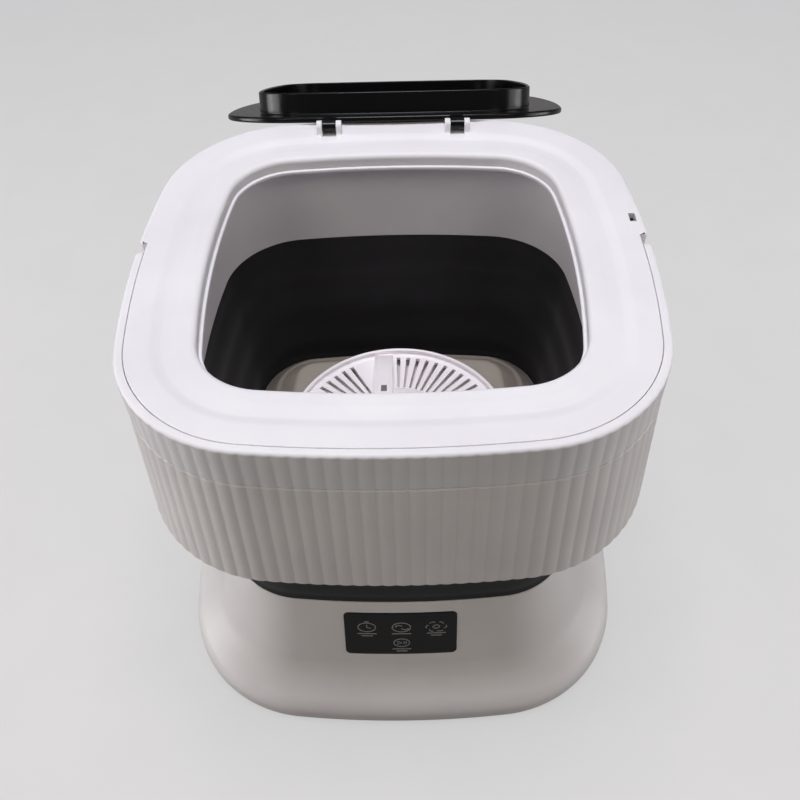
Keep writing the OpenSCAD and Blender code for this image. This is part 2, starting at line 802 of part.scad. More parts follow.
// Lid: drawn closed about its hinge axis, then swung open until its face nears the rim's rear edge
hinge_y = top_d / 2 - hinge_in;
lid_z = seat_z + gap;
lid_open = 180 + atan2(hinge_h, hinge_in)
    + asin((rim_z + hinge_h - lid_z - lid_t - gap) / norm([hinge_h, hinge_in]));
ring_t = lip_t + ring_gap;
lid_edge_t = seat_t + lid_gap;
module closed_lid() {
    translate([0, 0, lid_z])
        linear_extrude(lid_t)
            polygon(ring(lid_edge_t));
    ring_band(ring_t, ring_t + lid_ring_wall, lid_z - lid_ring_h, lid_ring_h + 1);
    for (x = [-1, 1])
        translate([x * hinge_x, 0, 0])
            hinge_leaf();
}
// A hinge leaf: the round knuckle and the web that joins it to the lid's edge
module hinge_leaf() {
    edge_y = top_d / 2 - lid_edge_t - hinge_y;
    web_z = lid_z - rim_z - hinge_h;
    translate([-knuckle_w / 2, hinge_y, rim_z + hinge_h])
        rotate([90, 0, 90])
            linear_extrude(knuckle_w) {
                circle(knuckle_r);
                polygon([[edge_y - 3, web_z + 0.4], [edge_y - 3, web_z + lid_t], [edge_y + 4, web_z + lid_t],
                    [0, -knuckle_r / 2], [0, -knuckle_r], [edge_y, web_z + 0.4]]);
            }
}
module lid() {
    color(smoke)
        translate([0, hinge_y, rim_z + hinge_h])
            rotate([-lid_open, 0, 0])
                translate([0, -hinge_y, -rim_z - hinge_h])
                    difference() {
                        closed_lid();
                        translate([-far / 2, hinge_y, rim_z + hinge_h])
                            rotate([0, 90, 0])
                                cylinder(d = lid_pin_d + 2 * run_fit, h = far);
                    }
}
module lid_hinge_pins() {
    pin_l = knuckle_w + 2 * (gap + ear_w);
    color(steel)
        for (x = [-1, 1])
            translate([x * hinge_x - pin_l / 2, hinge_y, rim_z + hinge_h])
                rotate([0, 90, 0])
                    cylinder(d = lid_pin_d, h = pin_l);
}

// Pulsator: a slotted dish with a rim, a dome and raised blades set beside the middle
puls_z = plateau_z + 3;
disc_z = puls_z + puls_rim_h - 5;
dome_r = slot_r0 - 1;
dome_h = 8;
hub_r = 14;
hub_z = plateau_z + 2 * gap;
disc_t = 3;
module pulsator() {
    color(white)
        difference() {
            union() {
                rotate_extrude($fn = 96)
                    pulsator_section();
                for (i = [0 : blades - 1])
                    rotate([0, 0, i * 360 / blades])
                        blade();
            }
            for (i = [0 : slot_n - 1])
                if (clear_of_blades(i * 360 / slot_n))
                    rotate([0, 0, i * 360 / slot_n])
                        translate([0, 0, disc_z - 10])
                            linear_extrude(20)
                                polygon([[slot_r0, -slot_w0 / 2], [slot_r1, -slot_w1 / 2],
                                    [slot_r1, slot_w1 / 2], [slot_r0, slot_w0 / 2]]);
            for (i = [0 : blades - 1])
                rotate([0, 0, i * 360 / blades])
                    translate([-blade_off - 2, slot_r0 - 11, disc_z - 10])
                        cube([5, 7, 40]);
            translate([0, 0, hub_z - 1])
                cylinder(d = shaft_d + 2 * fixed_fit, h = shaft_top_z + gap - hub_z + 1);
            translate([0, 0, disc_z])
                cylinder(d = hub_screw_d + 2 * fixed_fit, h = 20);
            translate([0, 0, recess_z])
                cylinder(d = cap_d + 2 * run_fit, h = 20);
        }
}
// The recess in the dome takes the cap, and the hub's screw stands on its floor
cap_d = 18;
recess_z = disc_z + dome_h - 3;
shaft_top_z = recess_z - 3 - gap;
hub_screw_d = screw_d + 2;
hub_screw_l = 15;
hub_head_d = screw_head_d + 5;
hub_head_h = 1.2;
// Half section: rim, disc, dome and hub
module pulsator_section() {
    r_in = puls_r - puls_rim_w;
    polygon(concat([[0, hub_z], [hub_r, hub_z], [hub_r, disc_z - disc_t],
        [r_in, disc_z - disc_t], [r_in, puls_z], [puls_r, puls_z], [puls_r, puls_z + puls_rim_h - 1.5]],
        [for (a = [0 : 45 : 180]) [puls_r - puls_rim_w / 2 + puls_rim_w / 2 * cos(a),
            puls_z + puls_rim_h - 1.5 + 1.5 * sin(a)]],
        [[r_in, disc_z + 1], [r_in - 1.5, disc_z], [dome_r, disc_z]],
        [for (a = [15 : 15 : 90]) [dome_r * cos(a), disc_z + dome_h * sin(a)]]));
}
// A blade runs from the dome to the rim along +Y, with a low crown, sloped ends and a raised edge on each side
module blade() {
    edge_w = 2.5;
    translate([-blade_off - blade_w / 2, 0, 0])
        rotate([90, 0, 90]) {
            linear_extrude(blade_w)
                blade_profile(blade_h - 1.2);
            for (x = [0, blade_w - edge_w])
                translate([0, 0, x])
                    linear_extrude(edge_w)
                        blade_profile(blade_h);
        }
}
module blade_profile(h) {
    y0 = 8;
    y1 = puls_r - puls_rim_w - 2;
    polygon([[y0, disc_z - 1], [y1, disc_z - 1], [y1, disc_z + 1], [y1 - 6, disc_z + h - 2],
        [slot_r0 + 12, disc_z + h], [dome_r, disc_z + h], [y0 + 14, disc_z + dome_h - 1]]);
}
// A slot place is kept only where no blade covers it
function clear_of_blades(a) = min([for (i = [0 : blades - 1])
    let (b = a - 90 - i * 360 / blades, r = slot_r0 + 3)
        cos(b) < 0 ? 99 : abs(sin(b) * r - blade_off)]) > blade_w / 2 + slot_w1 / 2 + 0.6;

module pulsator_screw() {
    color(steel)
        translate([0, 0, recess_z]) {
            translate([0, 0, 1 - hub_screw_l])
                cylinder(d = hub_screw_d, h = hub_screw_l);
            cylinder(d = hub_head_d, h = hub_head_h);
        }
}
// The cap is hollow underneath, over the screw's head
module pulsator_cap() {
    hollow_r = hub_head_d / 2 + 1;
    hollow_h = hub_head_h + gap;
    color(white)
        translate([0, 0, recess_z + gap])
            rotate_extrude()
                polygon([[0, hollow_h], [hollow_r, hollow_h], [hollow_r, 0], [cap_d / 2, 0], [cap_d / 2, 2.5],
                    [cap_d / 2 - 1, 3.6], [4, 4.4], [0, 4.5]]);
}

// Drive shaft and what carries it, from the plateau down
housing_d = bearing_d + 8;
housing_top_z = plateau_z;
housing_z = plateau_z - floor_t - housing_tube_h;
pulley_z = housing_z - 3 - pulley_w;
nut_h = 5;
shaft_z = pulley_z - nut_h - 4;
seal_h = 6;
module bearing_housing() {
    color(dark_plastic)
        difference() {
            union() {
                translate([0, 0, housing_z])
                    cylinder(d = housing_d, h = housing_top_z - housing_z);
                translate([0, 0, plateau_z - floor_t - gap - 4])
                    cylinder(d = housing_d + 14, h = 4);
            }
            translate([0, 0, housing_z - 1])
                cylinder(d = shaft_d + 6, h = 80);
            translate([0, 0, housing_z - 1])
                cylinder(d = bearing_d + 2 * fixed_fit, h = bearing_w + 1);
            translate([0, 0, housing_top_z - seal_h - bearing_w])
                cylinder(d = bearing_d + 2 * fixed_fit, h = seal_h + bearing_w + 1);
        }
}
module bearing() {
    rotate_extrude($fn = 64)
        difference() {
            translate([shaft_d / 2 + run_fit, 0])
                square([bearing_d / 2 - shaft_d / 2 - run_fit, bearing_w]);
            for (z = [-1, 1])
                translate([(shaft_d / 2 + bearing_d / 2) / 2, bearing_w / 2 + z * bearing_w / 2])
                    square([3, 1.2], center = true);
        }
}
module upper_bearing() {
    color(steel)
        translate([0, 0, housing_top_z - seal_h - bearing_w])
            bearing();
}
module lower_bearing() {
    color(steel)
        translate([0, 0, housing_z])
            bearing();
}
module shaft_seal() {
    color(black_rubber)
        translate([0, 0, housing_top_z - seal_h + gap])
            difference() {
                cylinder(d = bearing_d, h = seal_h - gap);
                translate([0, 0, -1])
                    cylinder(d = shaft_d + 2 * run_fit, h = seal_h + 2);
            }
}
module drive_shaft() {
    color(steel)
        difference() {
            translate([0, 0, shaft_z])
                cylinder(d = shaft_d, h = shaft_top_z - shaft_z);
            translate([0, 0, recess_z - hub_screw_l])
                cylinder(d = hub_screw_d + 2 * fixed_fit, h = hub_screw_l);
        }
}
// Driven pulley: a flanged rim on a webbed hub, keyed to the shaft
belt_z = pulley_z + (pulley_w - belt_w) / 2;
module driven_pulley() {
    color(dark_plastic)
        translate([0, 0, pulley_z])
            difference() {
                rotate_extrude($fn = 96)
                    polygon([[0, 0], [10, 0], [10, 4], [pulley_r - 5, 4], [pulley_r - 5, 0], [pulley_r + 2.5, 0],
                        [pulley_r + 2.5, 1.6], [pulley_r, 2], [pulley_r, pulley_w - 2],
                        [pulley_r + 2.5, pulley_w - 1.6], [pulley_r + 2.5, pulley_w], [pulley_r - 5, pulley_w],
                        [pulley_r - 5, 8], [10, 8], [10, pulley_w], [0, pulley_w]]);
                translate([0, 0, -1])
                    cylinder(d = shaft_d + 2 * fixed_fit, h = pulley_w + 2);
                for (a = [0 : 60 : 300])
                    rotate([0, 0, a])
                        translate([(pulley_r + 5) / 2, 0, -1])
                            cylinder(d = pulley_r / 3, h = pulley_w + 2);
            }
}
module pulley_nut() {
    color(steel)
        translate([0, 0, pulley_z - nut_h - gap])
            difference() {
                cylinder(d = 17, h = nut_h, $fn = 6);
                translate([0, 0, -1])
                    cylinder(d = shaft_d + 2 * fixed_fit, h = nut_h + 2, $fn = 48);
            }
}

// Motor beside the shaft, hung from a bracket under the plateau
motor_at = [-motor_x, 0];
bracket_z = belt_z - 10;
motor_z = bracket_z - motor_h;
bracket_back = motor_d / 2 + 1 + bracket_t;
bracket_front = motor_d / 2 + boss_d + 5;
bracket_side = motor_d / 2 + 2 * boss_d + 1;
bracket_points = [for (y = [-1, 1]) for (x = [-2, bracket_front - boss_d])
    motor_at + [x, y * (bracket_side - boss_d)]];
// The belt's path: an arc round each pulley, with straight runs between
function belt_outline(grow) =
    let (r0 = pulley_r + gap + grow, r1 = motor_pulley_r + gap + grow, a = 180 - acos((r0 - r1) / motor_x))
    concat([for (i = [0 : 48]) r0 * dir(mix(-a, a, i / 48))],
        [for (i = [0 : 12]) motor_at + r1 * dir(mix(a, 360 - a, i / 12))]);
module drive_belt() {
    color(black_rubber)
        translate([0, 0, belt_z])
            linear_extrude(belt_w)
                difference() {
                    polygon(belt_outline(belt_t));
                    polygon(belt_outline(0));
                }
}
module motor() {
    color(steel)
        translate([motor_at[0], motor_at[1], motor_z])
            difference() {
                union() {
                    cylinder(d = motor_d, h = motor_h - gap);
                    translate([0, 0, -3])
                        cylinder(d = motor_d / 3, h = 4);
                    cylinder(d = motor_d / 3, h = motor_h + bracket_t + 1);
                }
                translate([0, 0, 4])
                    cylinder(d = motor_shaft_d + 2 * run_fit, h = motor_h + 20);
            }
}
module motor_shaft() {
    color(steel)
        translate([motor_at[0], motor_at[1], motor_z + 4 + gap])
            cylinder(d = motor_shaft_d, h = pulley_z + pulley_w - motor_z - 4);
}
module motor_pulley() {
    r = motor_pulley_r;
    color(dark_plastic)
        translate([motor_at[0], motor_at[1], pulley_z])
            difference() {
                rotate_extrude()
                    polygon([[0, 0], [r + 2.5, 0], [r + 2.5, 1.6], [r, 2], [r, pulley_w - 2],
                        [r + 2.5, pulley_w - 1.6], [r + 2.5, pulley_w], [0, pulley_w]]);
                translate([0, 0, -1])
                    cylinder(d = motor_shaft_d + 2 * fixed_fit, h = pulley_w + 2);
            }
}
module motor_bracket() {
    color(steel)
        translate([0, 0, bracket_z])
            difference() {
                union() {
                    translate([motor_at[0] - bracket_back, motor_at[1] - bracket_side, 0])
                        cube([bracket_back + bracket_front, 2 * bracket_side, bracket_t]);
                    translate([motor_at[0] - bracket_back, motor_at[1] - bracket_side, -8])
                        cube([bracket_t, 2 * bracket_side, 9]);
                }
                translate([motor_at[0], motor_at[1], -1])
                    cylinder(d = motor_d / 3 + 2 * gap, h = bracket_t + 2);
                for (p = bracket_points)
                    translate([p[0], p[1], -1])
                        cylinder(d = screw_d + 2 * fixed_fit, h = bracket_t + 2);
            }
}
module bracket_screws() {
    color(steel)
        for (p = bracket_points)
            translate([p[0], p[1], bracket_z])
                screw(bracket_t + gap + screw_bite);
}

// Touch panel: a gloss plate that follows the front wall, seated in its pocket
module control_panel() {
    color(smoke)
        intersection() {
            panel_prism(panel_w, panel_h, panel_r, 12);
            wall_slab(-panel_proud, panel_t - panel_proud, panel_z0, panel_z1);
        }
}
// Control board: it stands on four stubs behind the panel's window
board_t = 1.6;
board_back = base_wall + 5;
module control_board() {
    h = panel_h - 2 * panel_margin - 2;
    w = panel_w - 2 * panel_margin - 2;
    crown_drop = w * w / 8 / crown_front;
    color("#2f5d3a")
        on_front_wall()
            translate([0, -panel_h / 2, -board_back]) {
                cube([w, h, board_t], center = true);
                for (x = [-1, 1])
                    for (y = [-1, 1])
                        translate([x * (w / 2 - 4), y * (h / 2 - 4), 0])
                            cylinder(d = 4, h = board_back - panel_t + panel_proud - gap - crown_drop);
                translate([-w / 4, 0, -3])
                    cube([14, 10, 5], center = true);
                translate([w / 4, 0, -4])
                    cube([18, 12, 7], center = true);
            }
}

// Power inlet: a round socket in the rear wall, held by a flange inside
module power_inlet() {
    front = rear_face_y + 1 - rear_wall_y;
    back = flange_back(inlet_x, inlet_d) + flange_t;
    color(dark_plastic)
        translate([inlet_x, rear_wall_y, outlet_z])
            rotate([-90, 0, 0])
                difference() {
                    union() {
                        translate([0, 0, -back])
                            cylinder(d = inlet_d, h = front + back);
                        translate([0, 0, -back])
                            cylinder(d = inlet_d + 2 * flange_w, h = flange_t);
                    }
                    translate([0, 0, front - inlet_depth])
                        cylinder(d = inlet_bore, h = inlet_depth + 1);
                }
}

// Drain: an elbow from the plateau down and back to the rear wall, and a spigot through that wall, with a
// shoulder, a plain stretch that the hose grips, and three ribs that taper towards the tip
pipe_wall = 2.2;
pipe_d = drain_bore + 2 * pipe_wall;
bend_r = 16;
spigot_y = rear_wall_y - flange_back(drain_x, spigot_d) - flange_t;
module drain_pipe() {
    color(dark_plastic)
        translate([drain_x, drain_y, 0]) {
            translate([0, 0, outlet_z + bend_r])
                tube(plateau_z - gap - outlet_z - bend_r);
            translate([0, 0, plateau_z - floor_t - gap - 2])
                difference() {
                    cylinder(d = pipe_d + 8, h = 2);
                    cylinder(d = drain_bore, h = 10, center = true);
                }
            translate([0, bend_r, outlet_z + bend_r])
                rotate([0, 90, 0])
                    rotate([0, 0, -90])
                        rotate_extrude(angle = 90)
                            translate([bend_r, 0])
                                difference() {
                                    circle(d = pipe_d);
                                    circle(d = drain_bore);
                                }
            translate([0, bend_r, outlet_z])
                rotate([-90, 0, 0])
                    tube(spigot_y - gap - drain_y - bend_r);
        }
}
module tube(h) {
    linear_extrude(h)
        difference() {
            circle(d = pipe_d);
            circle(d = drain_bore);
        }
}
module drain_spigot() {
    r = spigot_d / 2;
    shoulder = rear_face_y - spigot_y + shoulder_l;
    l = rear_face_y - spigot_y + spigot_l;
    rib_l = (l - shoulder - grip_l) / 3;
    color(dark_plastic)
        translate([drain_x, spigot_y, outlet_z])
            rotate([-90, 0, 0])
                rotate_extrude()
                    polygon(concat(
                        [[drain_bore / 2, 0], [r + flange_w, 0], [r + flange_w, flange_t],
                            [r + shoulder_w, flange_t], [r + shoulder_w, shoulder], [r, shoulder]],
                        [for (i = [0 : 2]) each [[r - 0.1 * i, shoulder + grip_l + i * rib_l],
                            [r - 1.2, shoulder + grip_l + (i + 1) * rib_l]]],
                        [[drain_bore / 2, l]]));
}

base_housing();
bottom_plate();
rubber_feet();
bottom_screws();
tub_floor();
floor_screws();
lower_clamp_ring();
bellows();
upper_clamp_ring();
clamp_screws();
tub_collar();
collar_screws();
outer_shell();
top_cover();
shell_screws();
carry_handle();
handle_pivot_pins();
lid();
lid_hinge_pins();
pulsator();
pulsator_screw();
pulsator_cap();
drive_shaft();
shaft_seal();
bearing_housing();
upper_bearing();
lower_bearing();
driven_pulley();
pulley_nut();
drive_belt();
motor();
motor_shaft();
motor_pulley();
motor_bracket();
bracket_screws();
control_panel();
control_board();
power_inlet();
drain_pipe();
drain_spigot();
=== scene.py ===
import bmesh
import bpy
import numpy as np
from mathutils import Matrix


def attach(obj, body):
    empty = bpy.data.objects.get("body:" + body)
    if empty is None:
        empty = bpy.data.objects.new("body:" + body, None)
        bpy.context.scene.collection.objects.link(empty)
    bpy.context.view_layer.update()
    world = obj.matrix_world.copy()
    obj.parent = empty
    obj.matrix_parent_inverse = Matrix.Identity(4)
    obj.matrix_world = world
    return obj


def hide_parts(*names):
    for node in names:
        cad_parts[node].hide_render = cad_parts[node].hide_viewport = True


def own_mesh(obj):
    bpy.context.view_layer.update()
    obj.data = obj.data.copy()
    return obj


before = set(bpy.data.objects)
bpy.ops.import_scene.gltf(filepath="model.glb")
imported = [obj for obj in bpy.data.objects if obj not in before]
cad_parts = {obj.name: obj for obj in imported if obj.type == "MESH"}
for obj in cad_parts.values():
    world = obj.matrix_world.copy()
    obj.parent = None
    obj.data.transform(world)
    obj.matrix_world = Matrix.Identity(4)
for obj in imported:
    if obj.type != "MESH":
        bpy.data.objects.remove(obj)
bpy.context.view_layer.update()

MM = 0.001


# Scene tools
def unit(v):
    """A vector brought to length 1: v / |v|."""
    return v / np.linalg.norm(v)


def new_object(name, data):
    """An object of that name round its data, linked into the scene."""
    made = bpy.data.objects.new(name, data)
    bpy.context.scene.collection.objects.link(made)
    return made


def placed(x, y, z, place):
    """The matrix of an object at place whose own axes point along x, y and z, as its columns."""
    matrix = np.eye(4)
    matrix[:3] = np.stack([x, y, z, place], 1)
    return Matrix(matrix.tolist())


# Camera
# Where the photograph was taken from: in front, above, and looking down into the tub.
RIGHT = np.array([0.99976, -0.00108, -0.02174])
UP = np.array([0.01530, 0.74505, 0.66683])
FORWARD = np.array([-0.01548, 0.66700, -0.74489])
EYE = np.array([0.01248, -0.45347, 0.70041])
camera = new_object("camera", bpy.data.cameras.new("camera"))
camera.matrix_world = placed(RIGHT, UP, -FORWARD, EYE)
camera.data.sensor_width = 36.0
camera.data.lens = 38.25
camera.data.clip_start = 0.02
bpy.context.scene.camera = camera

# Sizes, in mm
# A name in _T is a distance in from the outline of the top, and a name in _Z a height above the floor.
TOP_W, TOP_D = 350.0, 345.0
CROWN_FRONT, CROWN_SIDE, CORNER_R = 820.0, 680.0, 96.0
# Walls, and the gap round the handle's ends, the lid's knuckles and the bellows' neck
WALL, BASE_WALL, PLAY = 2.4, 3.0, 0.6
# Rim, the lid's seat, the neck under it and the tub collar
RIM_Z, SEAT_Z, COLLAR_Z, COLLAR_TOP_Z = 341.0, 339.5, 250.0, 330.0
NECK_T, LIP_T, TUB_T = 49.7, 51.8, 32.0
# Lower edges of the handle and of the cover, and the fluted shell under them
BAND_Z, COVER_Z, SHELL_TOP_Z, SHELL_Z, SHELL_FLARE = 310.6, 310.3, 310.0, 212.0, 5.0
# Flutes: how many, how deep, and how far below the rim they end, after how long a run-out
FLUTES, FLUTE_D, FLUTE_END, FLUTE_FADE = 128, 0.5, 0.4, 3.6
# Handle, the recess that it lies in, its pivot, and the notch in the cover round its ends
HANDLE_T, RECESS_T, PIVOT_Y, PIVOT_Z, HANDLE_R, HANDLE_END = 5.85, 6.2, -2.0, 325.8, 15.2, 10.0
NOTCH_Y = PIVOT_Y + np.hypot(HANDLE_END, HANDLE_R) + PLAY
# Lid hinges, and the angle in degrees at which the lid stands open
HINGE_Y, HINGE_Z, HINGE_X, LID_OPEN = 155.0, 346.1, 50.5, 205.721
KNUCKLE_W, KNUCKLE_R, EAR_W, EAR_PLAY = 10.4, 4.0, 4.2, 0.3
# Base: its foot, the crease above, and the wall that leans in from the crease to the top
FOOT_OUT, FOOT_EDGE_Z, CREASE_T, CREASE_Z = 12.2, 23.5, 15.0, 44.5
BODY_T, BASE_TOP_Z, FEET_H, LEDGE_T, LEDGE_Z, LEDGE_H = 36.0, 114.0, 2.5, 52.0, 103.0, 3.0
# Steps round the outline, for pale pieces, for dark or hidden ones, and for each flute
STEPS, DARK_STEPS, RIB_STEPS = 512, 384, 12

# The rounded-square outline
# Each quarter is three tangent arcs: half the side crown, the corner, half the front or back crown.
# The corner's centre is where two circles cross, about the crowns' centres and smaller by CORNER_R.
side_c = np.array([TOP_W / 2 - CROWN_SIDE, 0.0])
back_c = np.array([0.0, TOP_D / 2 - CROWN_FRONT])
span = np.linalg.norm(back_c - side_c)
toward = (back_c - side_c) / span
along = ((CROWN_SIDE - CORNER_R) ** 2 - (CROWN_FRONT - CORNER_R) ** 2 + span ** 2) / (2 * span)
lift = np.sqrt((CROWN_SIDE - CORNER_R) ** 2 - along ** 2)
corner_c = side_c + toward * along - np.array([toward[1], -toward[0]]) * lift
side_a = np.arctan2(*(corner_c - side_c)[::-1])
back_a = np.arctan2(*(corner_c - back_c)[::-1])
SIDE_LEN, CORNER_LEN = CROWN_SIDE * side_a, CORNER_R * (back_a - side_a)
QUARTER = SIDE_LEN + CORNER_LEN + CROWN_FRONT * (np.pi / 2 - back_a)


def outline(s):
    """Points and outward normals of the top outline at arc lengths s, counted from the middle of
    the +X side towards +Y: centre + radius * (cos a, sin a) on one of three arcs, mirrored from
    quarter to quarter."""
    s = np.mod(np.asarray(s, float), 4 * QUARTER)
    q = np.floor(s / QUARTER).astype(int) % 4
    r = np.where(q % 2 == 0, s - q * QUARTER, (q + 1) * QUARTER - s)
    on_side, on_corner = r < SIDE_LEN, r < SIDE_LEN + CORNER_LEN
    corner_a = side_a + (r - SIDE_LEN) / CORNER_R
    crown_a = back_a + (r - SIDE_LEN - CORNER_LEN) / CROWN_FRONT
    a = np.where(on_side, r / CROWN_SIDE, np.where(on_corner, corner_a, crown_a))
    radius = np.where(on_side, CROWN_SIDE, np.where(on_corner, CORNER_R, CROWN_FRONT))
    centre = np.where(on_side[:, None], side_c, np.where(on_corner[:, None], corner_c, back_c))
    normal = np.stack([np.cos(a), np.sin(a)], 1)
    mirror = np.stack([np.where((q == 1) | (q == 2), -1, 1), np.where(q >= 2, -1, 1)], 1)
    return (centre + radius[:, None] * normal) * mirror, normal * mirror


def steps(n):
    """n arc lengths, evenly round the whole outline."""
    return np.arange(n) * 4 * QUARTER / n


def groove(s):
    """How deep the flutes are at arc lengths s, 0 on a rib's crest to 1 in a groove: 1 - |sin|,
    so that the ribs are round."""
    return 1 - np.abs(np.sin(np.pi * FLUTES * np.asarray(s) / (4 * QUARTER)))


def fade(z):
    """The share of the flutes' depth left at height z: 1, falling to 0 over FLUTE_FADE just below
    the rim."""
    return np.clip((RIM_Z - FLUTE_END - z) / FLUTE_FADE, 0, 1)


def rounded(path, radii, n=5, closed=True, support=0.5):
    """A path of corners with each corner turned by an arc of its radius in n steps, and a point
    support mm outside each end of the arc, so that smooth shading stays on the arc."""
    path = np.asarray(path, float)
    parts = []
    for i, r in enumerate(radii):
        b = path[i]
        if r <= 0 or (not closed and i in (0, len(path) - 1)):
            parts.append([b])
            continue
        u, v = unit(path[i - 1] - b), unit(path[(i + 1) % len(path)] - b)
        half = np.arccos(np.clip(u @ v, -1, 1)) / 2
        d = r / np.tan(half)
        middle = b + unit(u + v) * r / np.sin(half)
        p, q = b + u * d - middle, b + v * d - middle
        turn = np.arctan2(p[0] * q[1] - p[1] * q[0], p @ q)
        a = np.arctan2(p[1], p[0]) + turn * np.linspace(0, 1, n + 1)
        bend = middle + r * np.stack([np.cos(a), np.sin(a)], 1)
        parts += [[b + u * (d + support)], bend, [b + v * (d + support)]]
    return np.concatenate(parts)


# Materials
# Moulded grain is 0.1 to 0.3 mm on the real pieces, too fine to show here, so it is drawn 0.5 to
# 1.5 mm coarse. The polished pieces have only a slow waviness of 6 mm.
# Patches of colour to a metre, how far roughness wanders, and the strength of the grain's bump
PATCHES, WANDER, BUMP = 14.0, 0.05, 0.6


def linear(hex_colour):
    """An sRGB hex colour as linear red, green, blue and 1, by the sRGB curve."""
    c = np.array([int(hex_colour[i:i + 2], 16) for i in (1, 3, 5)]) / 255
    return (*np.where(c <= 0.04045, c / 12.92, ((c + 0.055) / 1.055) ** 2.4).tolist(), 1.0)


def add(tree, kind, inputs=None, **settings):
    """Adds a node, sets its settings, and fills its inputs with values or links to sockets."""
    node = tree.nodes.new(kind)
    for key, value in settings.items():
        setattr(node, key, value)
    for key, value in (inputs or {}).items():
        if isinstance(value, bpy.types.NodeSocket):
            tree.links.new(value, node.inputs[key])
        else:
            node.inputs[key].default_value = value
    return node


def material(name, shade, tint, rough, grain_mm, relief, **shader):
    """A moulded or worked surface: its colour drifts between two shades over some centimetres, its
    roughness wanders round rough, and a fine grain of grain_mm stands relief mm high. The rest is
    set on the shader's own sockets."""
    made = bpy.data.materials.new(name)
    made.use_nodes = True
    tree = made.node_tree
    principled = tree.nodes["Principled BSDF"]
    place = add(tree, "ShaderNodeTexCoord").outputs["Object"]
    drift = add(tree, "ShaderNodeTexNoise", {"Vector": place, "Scale": PATCHES, "Detail": 3.0})
    ramp = add(tree, "ShaderNodeValToRGB", {"Fac": drift.outputs["Fac"]})
    for element, at, colour in zip(ramp.color_ramp.elements, (0.32, 0.68), (shade, tint)):
        element.position, element.color = at, linear(colour)
    tree.links.new(ramp.outputs["Color"], principled.inputs["Base Color"])
    grain = add(tree, "ShaderNodeTexNoise",
                {"Vector": place, "Scale": 1000 / grain_mm, "Detail": 2.0}).outputs["Fac"]
    wander = add(tree, "ShaderNodeMapRange",
                 {"Value": grain, "To Min": rough - WANDER, "To Max": rough + WANDER})
    tree.links.new(wander.outputs["Result"], principled.inputs["Roughness"])
    bump = add(tree, "ShaderNodeBump",
               {"Height": grain, "Distance": relief * MM, "Strength": BUMP})
    tree.links.new(bump.outputs["Normal"], principled.inputs["Normal"])
    for socket, value in shader.items():
        principled.inputs[socket.replace("_", " ")].default_value = value
    return made


# ABS, injection moulded in a finely eroded tool: a plain white with a soft, satin sheen
abs_white = material("moulded_abs_white", "#e5e3e7", "#ebeaed", 0.56, 0.9, 0.012,
                     Specular_IOR_Level=0.35)
# The same ABS in the shell and the base: a shade greyer and warmer, with a little more gloss
abs_shell = material("moulded_abs_shell", "#dfdbdc", "#e6e3e3", 0.44, 0.9, 0.015, IOR=1.54)
# Polypropylene, moulded and unpainted: the pulsator, brighter and waxier than the ABS
pp_white = material("moulded_pp_white", "#f9f3f6", "#fcf7fa", 0.36, 1.2, 0.010, IOR=1.49)
# Polypropylene tub floor, warm grey. Near the axis, where the pulsator covers it and it is seen
# through the slots, it is painted paler: painted light, so that the slots look lit
pp_floor = material("moulded_pp_floor", "#988f85", "#a39a90", 0.46, 1.0, 0.015, IOR=1.49)
# Painted light: the pale colour, and the radius of the floor's middle that is painted with it
PAINTED_LIGHT, PAINTED_LIGHT_R = "#eae3e1", 90.0
tree = pp_floor.node_tree
place = add(tree, "ShaderNodeTexCoord").outputs["Object"]
level = add(tree, "ShaderNodeVectorMath", {0: place, 1: (1.0, 1.0, 0.0)}, operation="MULTIPLY")
away = add(tree, "ShaderNodeVectorMath", {0: level.outputs[0]}, operation="LENGTH")
painted_light_mask = add(tree, "ShaderNodeMath", {0: away.outputs["Value"], 1: PAINTED_LIGHT_R * MM},
              operation="LESS_THAN")
floor_colour = tree.nodes["Color Ramp"].outputs["Color"]
# The painted light laid over the floor's own colour, within that radius
mixed = add(tree, "ShaderNodeMixRGB",
            {"Fac": painted_light_mask.outputs[0], "Color1": floor_colour, "Color2": linear(PAINTED_LIGHT)})
tree.links.new(mixed.outputs["Color"], tree.nodes["Principled BSDF"].inputs["Base Color"])
# Thermoplastic rubber: the bellows, charcoal, matt, with a dusty bloom
tpe_rubber = material("tpe_rubber", "#1a191c", "#201f23", 0.62, 1.4, 0.03,
                      Specular_IOR_Level=0.3, Sheen_Weight=0.08, Sheen_Roughness=0.5)
# Smoked polycarbonate: the lid, polished and nearly black, with light only where it is thin
smoked_pc = material("smoked_polycarbonate", "#060608", "#0a0a0c", 0.2, 6.0, 0.004,
                     Specular_IOR_Level=0.22, Transmission_Weight=0.1)
# Acrylic front of the touch panel: polished, deep black, its reflections dim
acrylic_black = material("acrylic_black", "#050506", "#08080a", 0.16, 6.0, 0.002, IOR=1.40)
# Screen-printed ink on the panel: dim grey while the panel is unlit
print_grey = material("screen_print_grey", "#828285", "#909093", 0.5, 0.5, 0.005, IOR=1.5)
# Polyamide and ABS in black: inlet, spigot, clamp rings, pulleys, satin
abs_black = material("moulded_abs_black", "#1a1a1d", "#212125", 0.45, 0.9, 0.015, IOR=1.54)
# Nitrile rubber: feet, belt and seal, dull and nearly black
nitrile = material("nitrile_rubber", "#19191b", "#222224", 0.7, 0.8, 0.04, IOR=1.52)
# Zinc-plated steel: screws, pins, shafts, motor and bracket, a pale metal with a cool gleam
zinc_steel = material("zinc_plated_steel", "#a9adb1", "#bcc0c3", 0.30, 0.6, 0.01, Metallic=1.0)
# Green solder mask over copper: the control board, dark green with a slight gloss
solder_mask = material("solder_mask_green", "#1d4a2a", "#25593a", 0.35, 1.5, 0.01, IOR=1.5)

# Mesh tools
# Edges over SHARP degrees stay sharp, and points nearer than NEAR metres are one.
SHARP, NEAR = 34, 1e-6


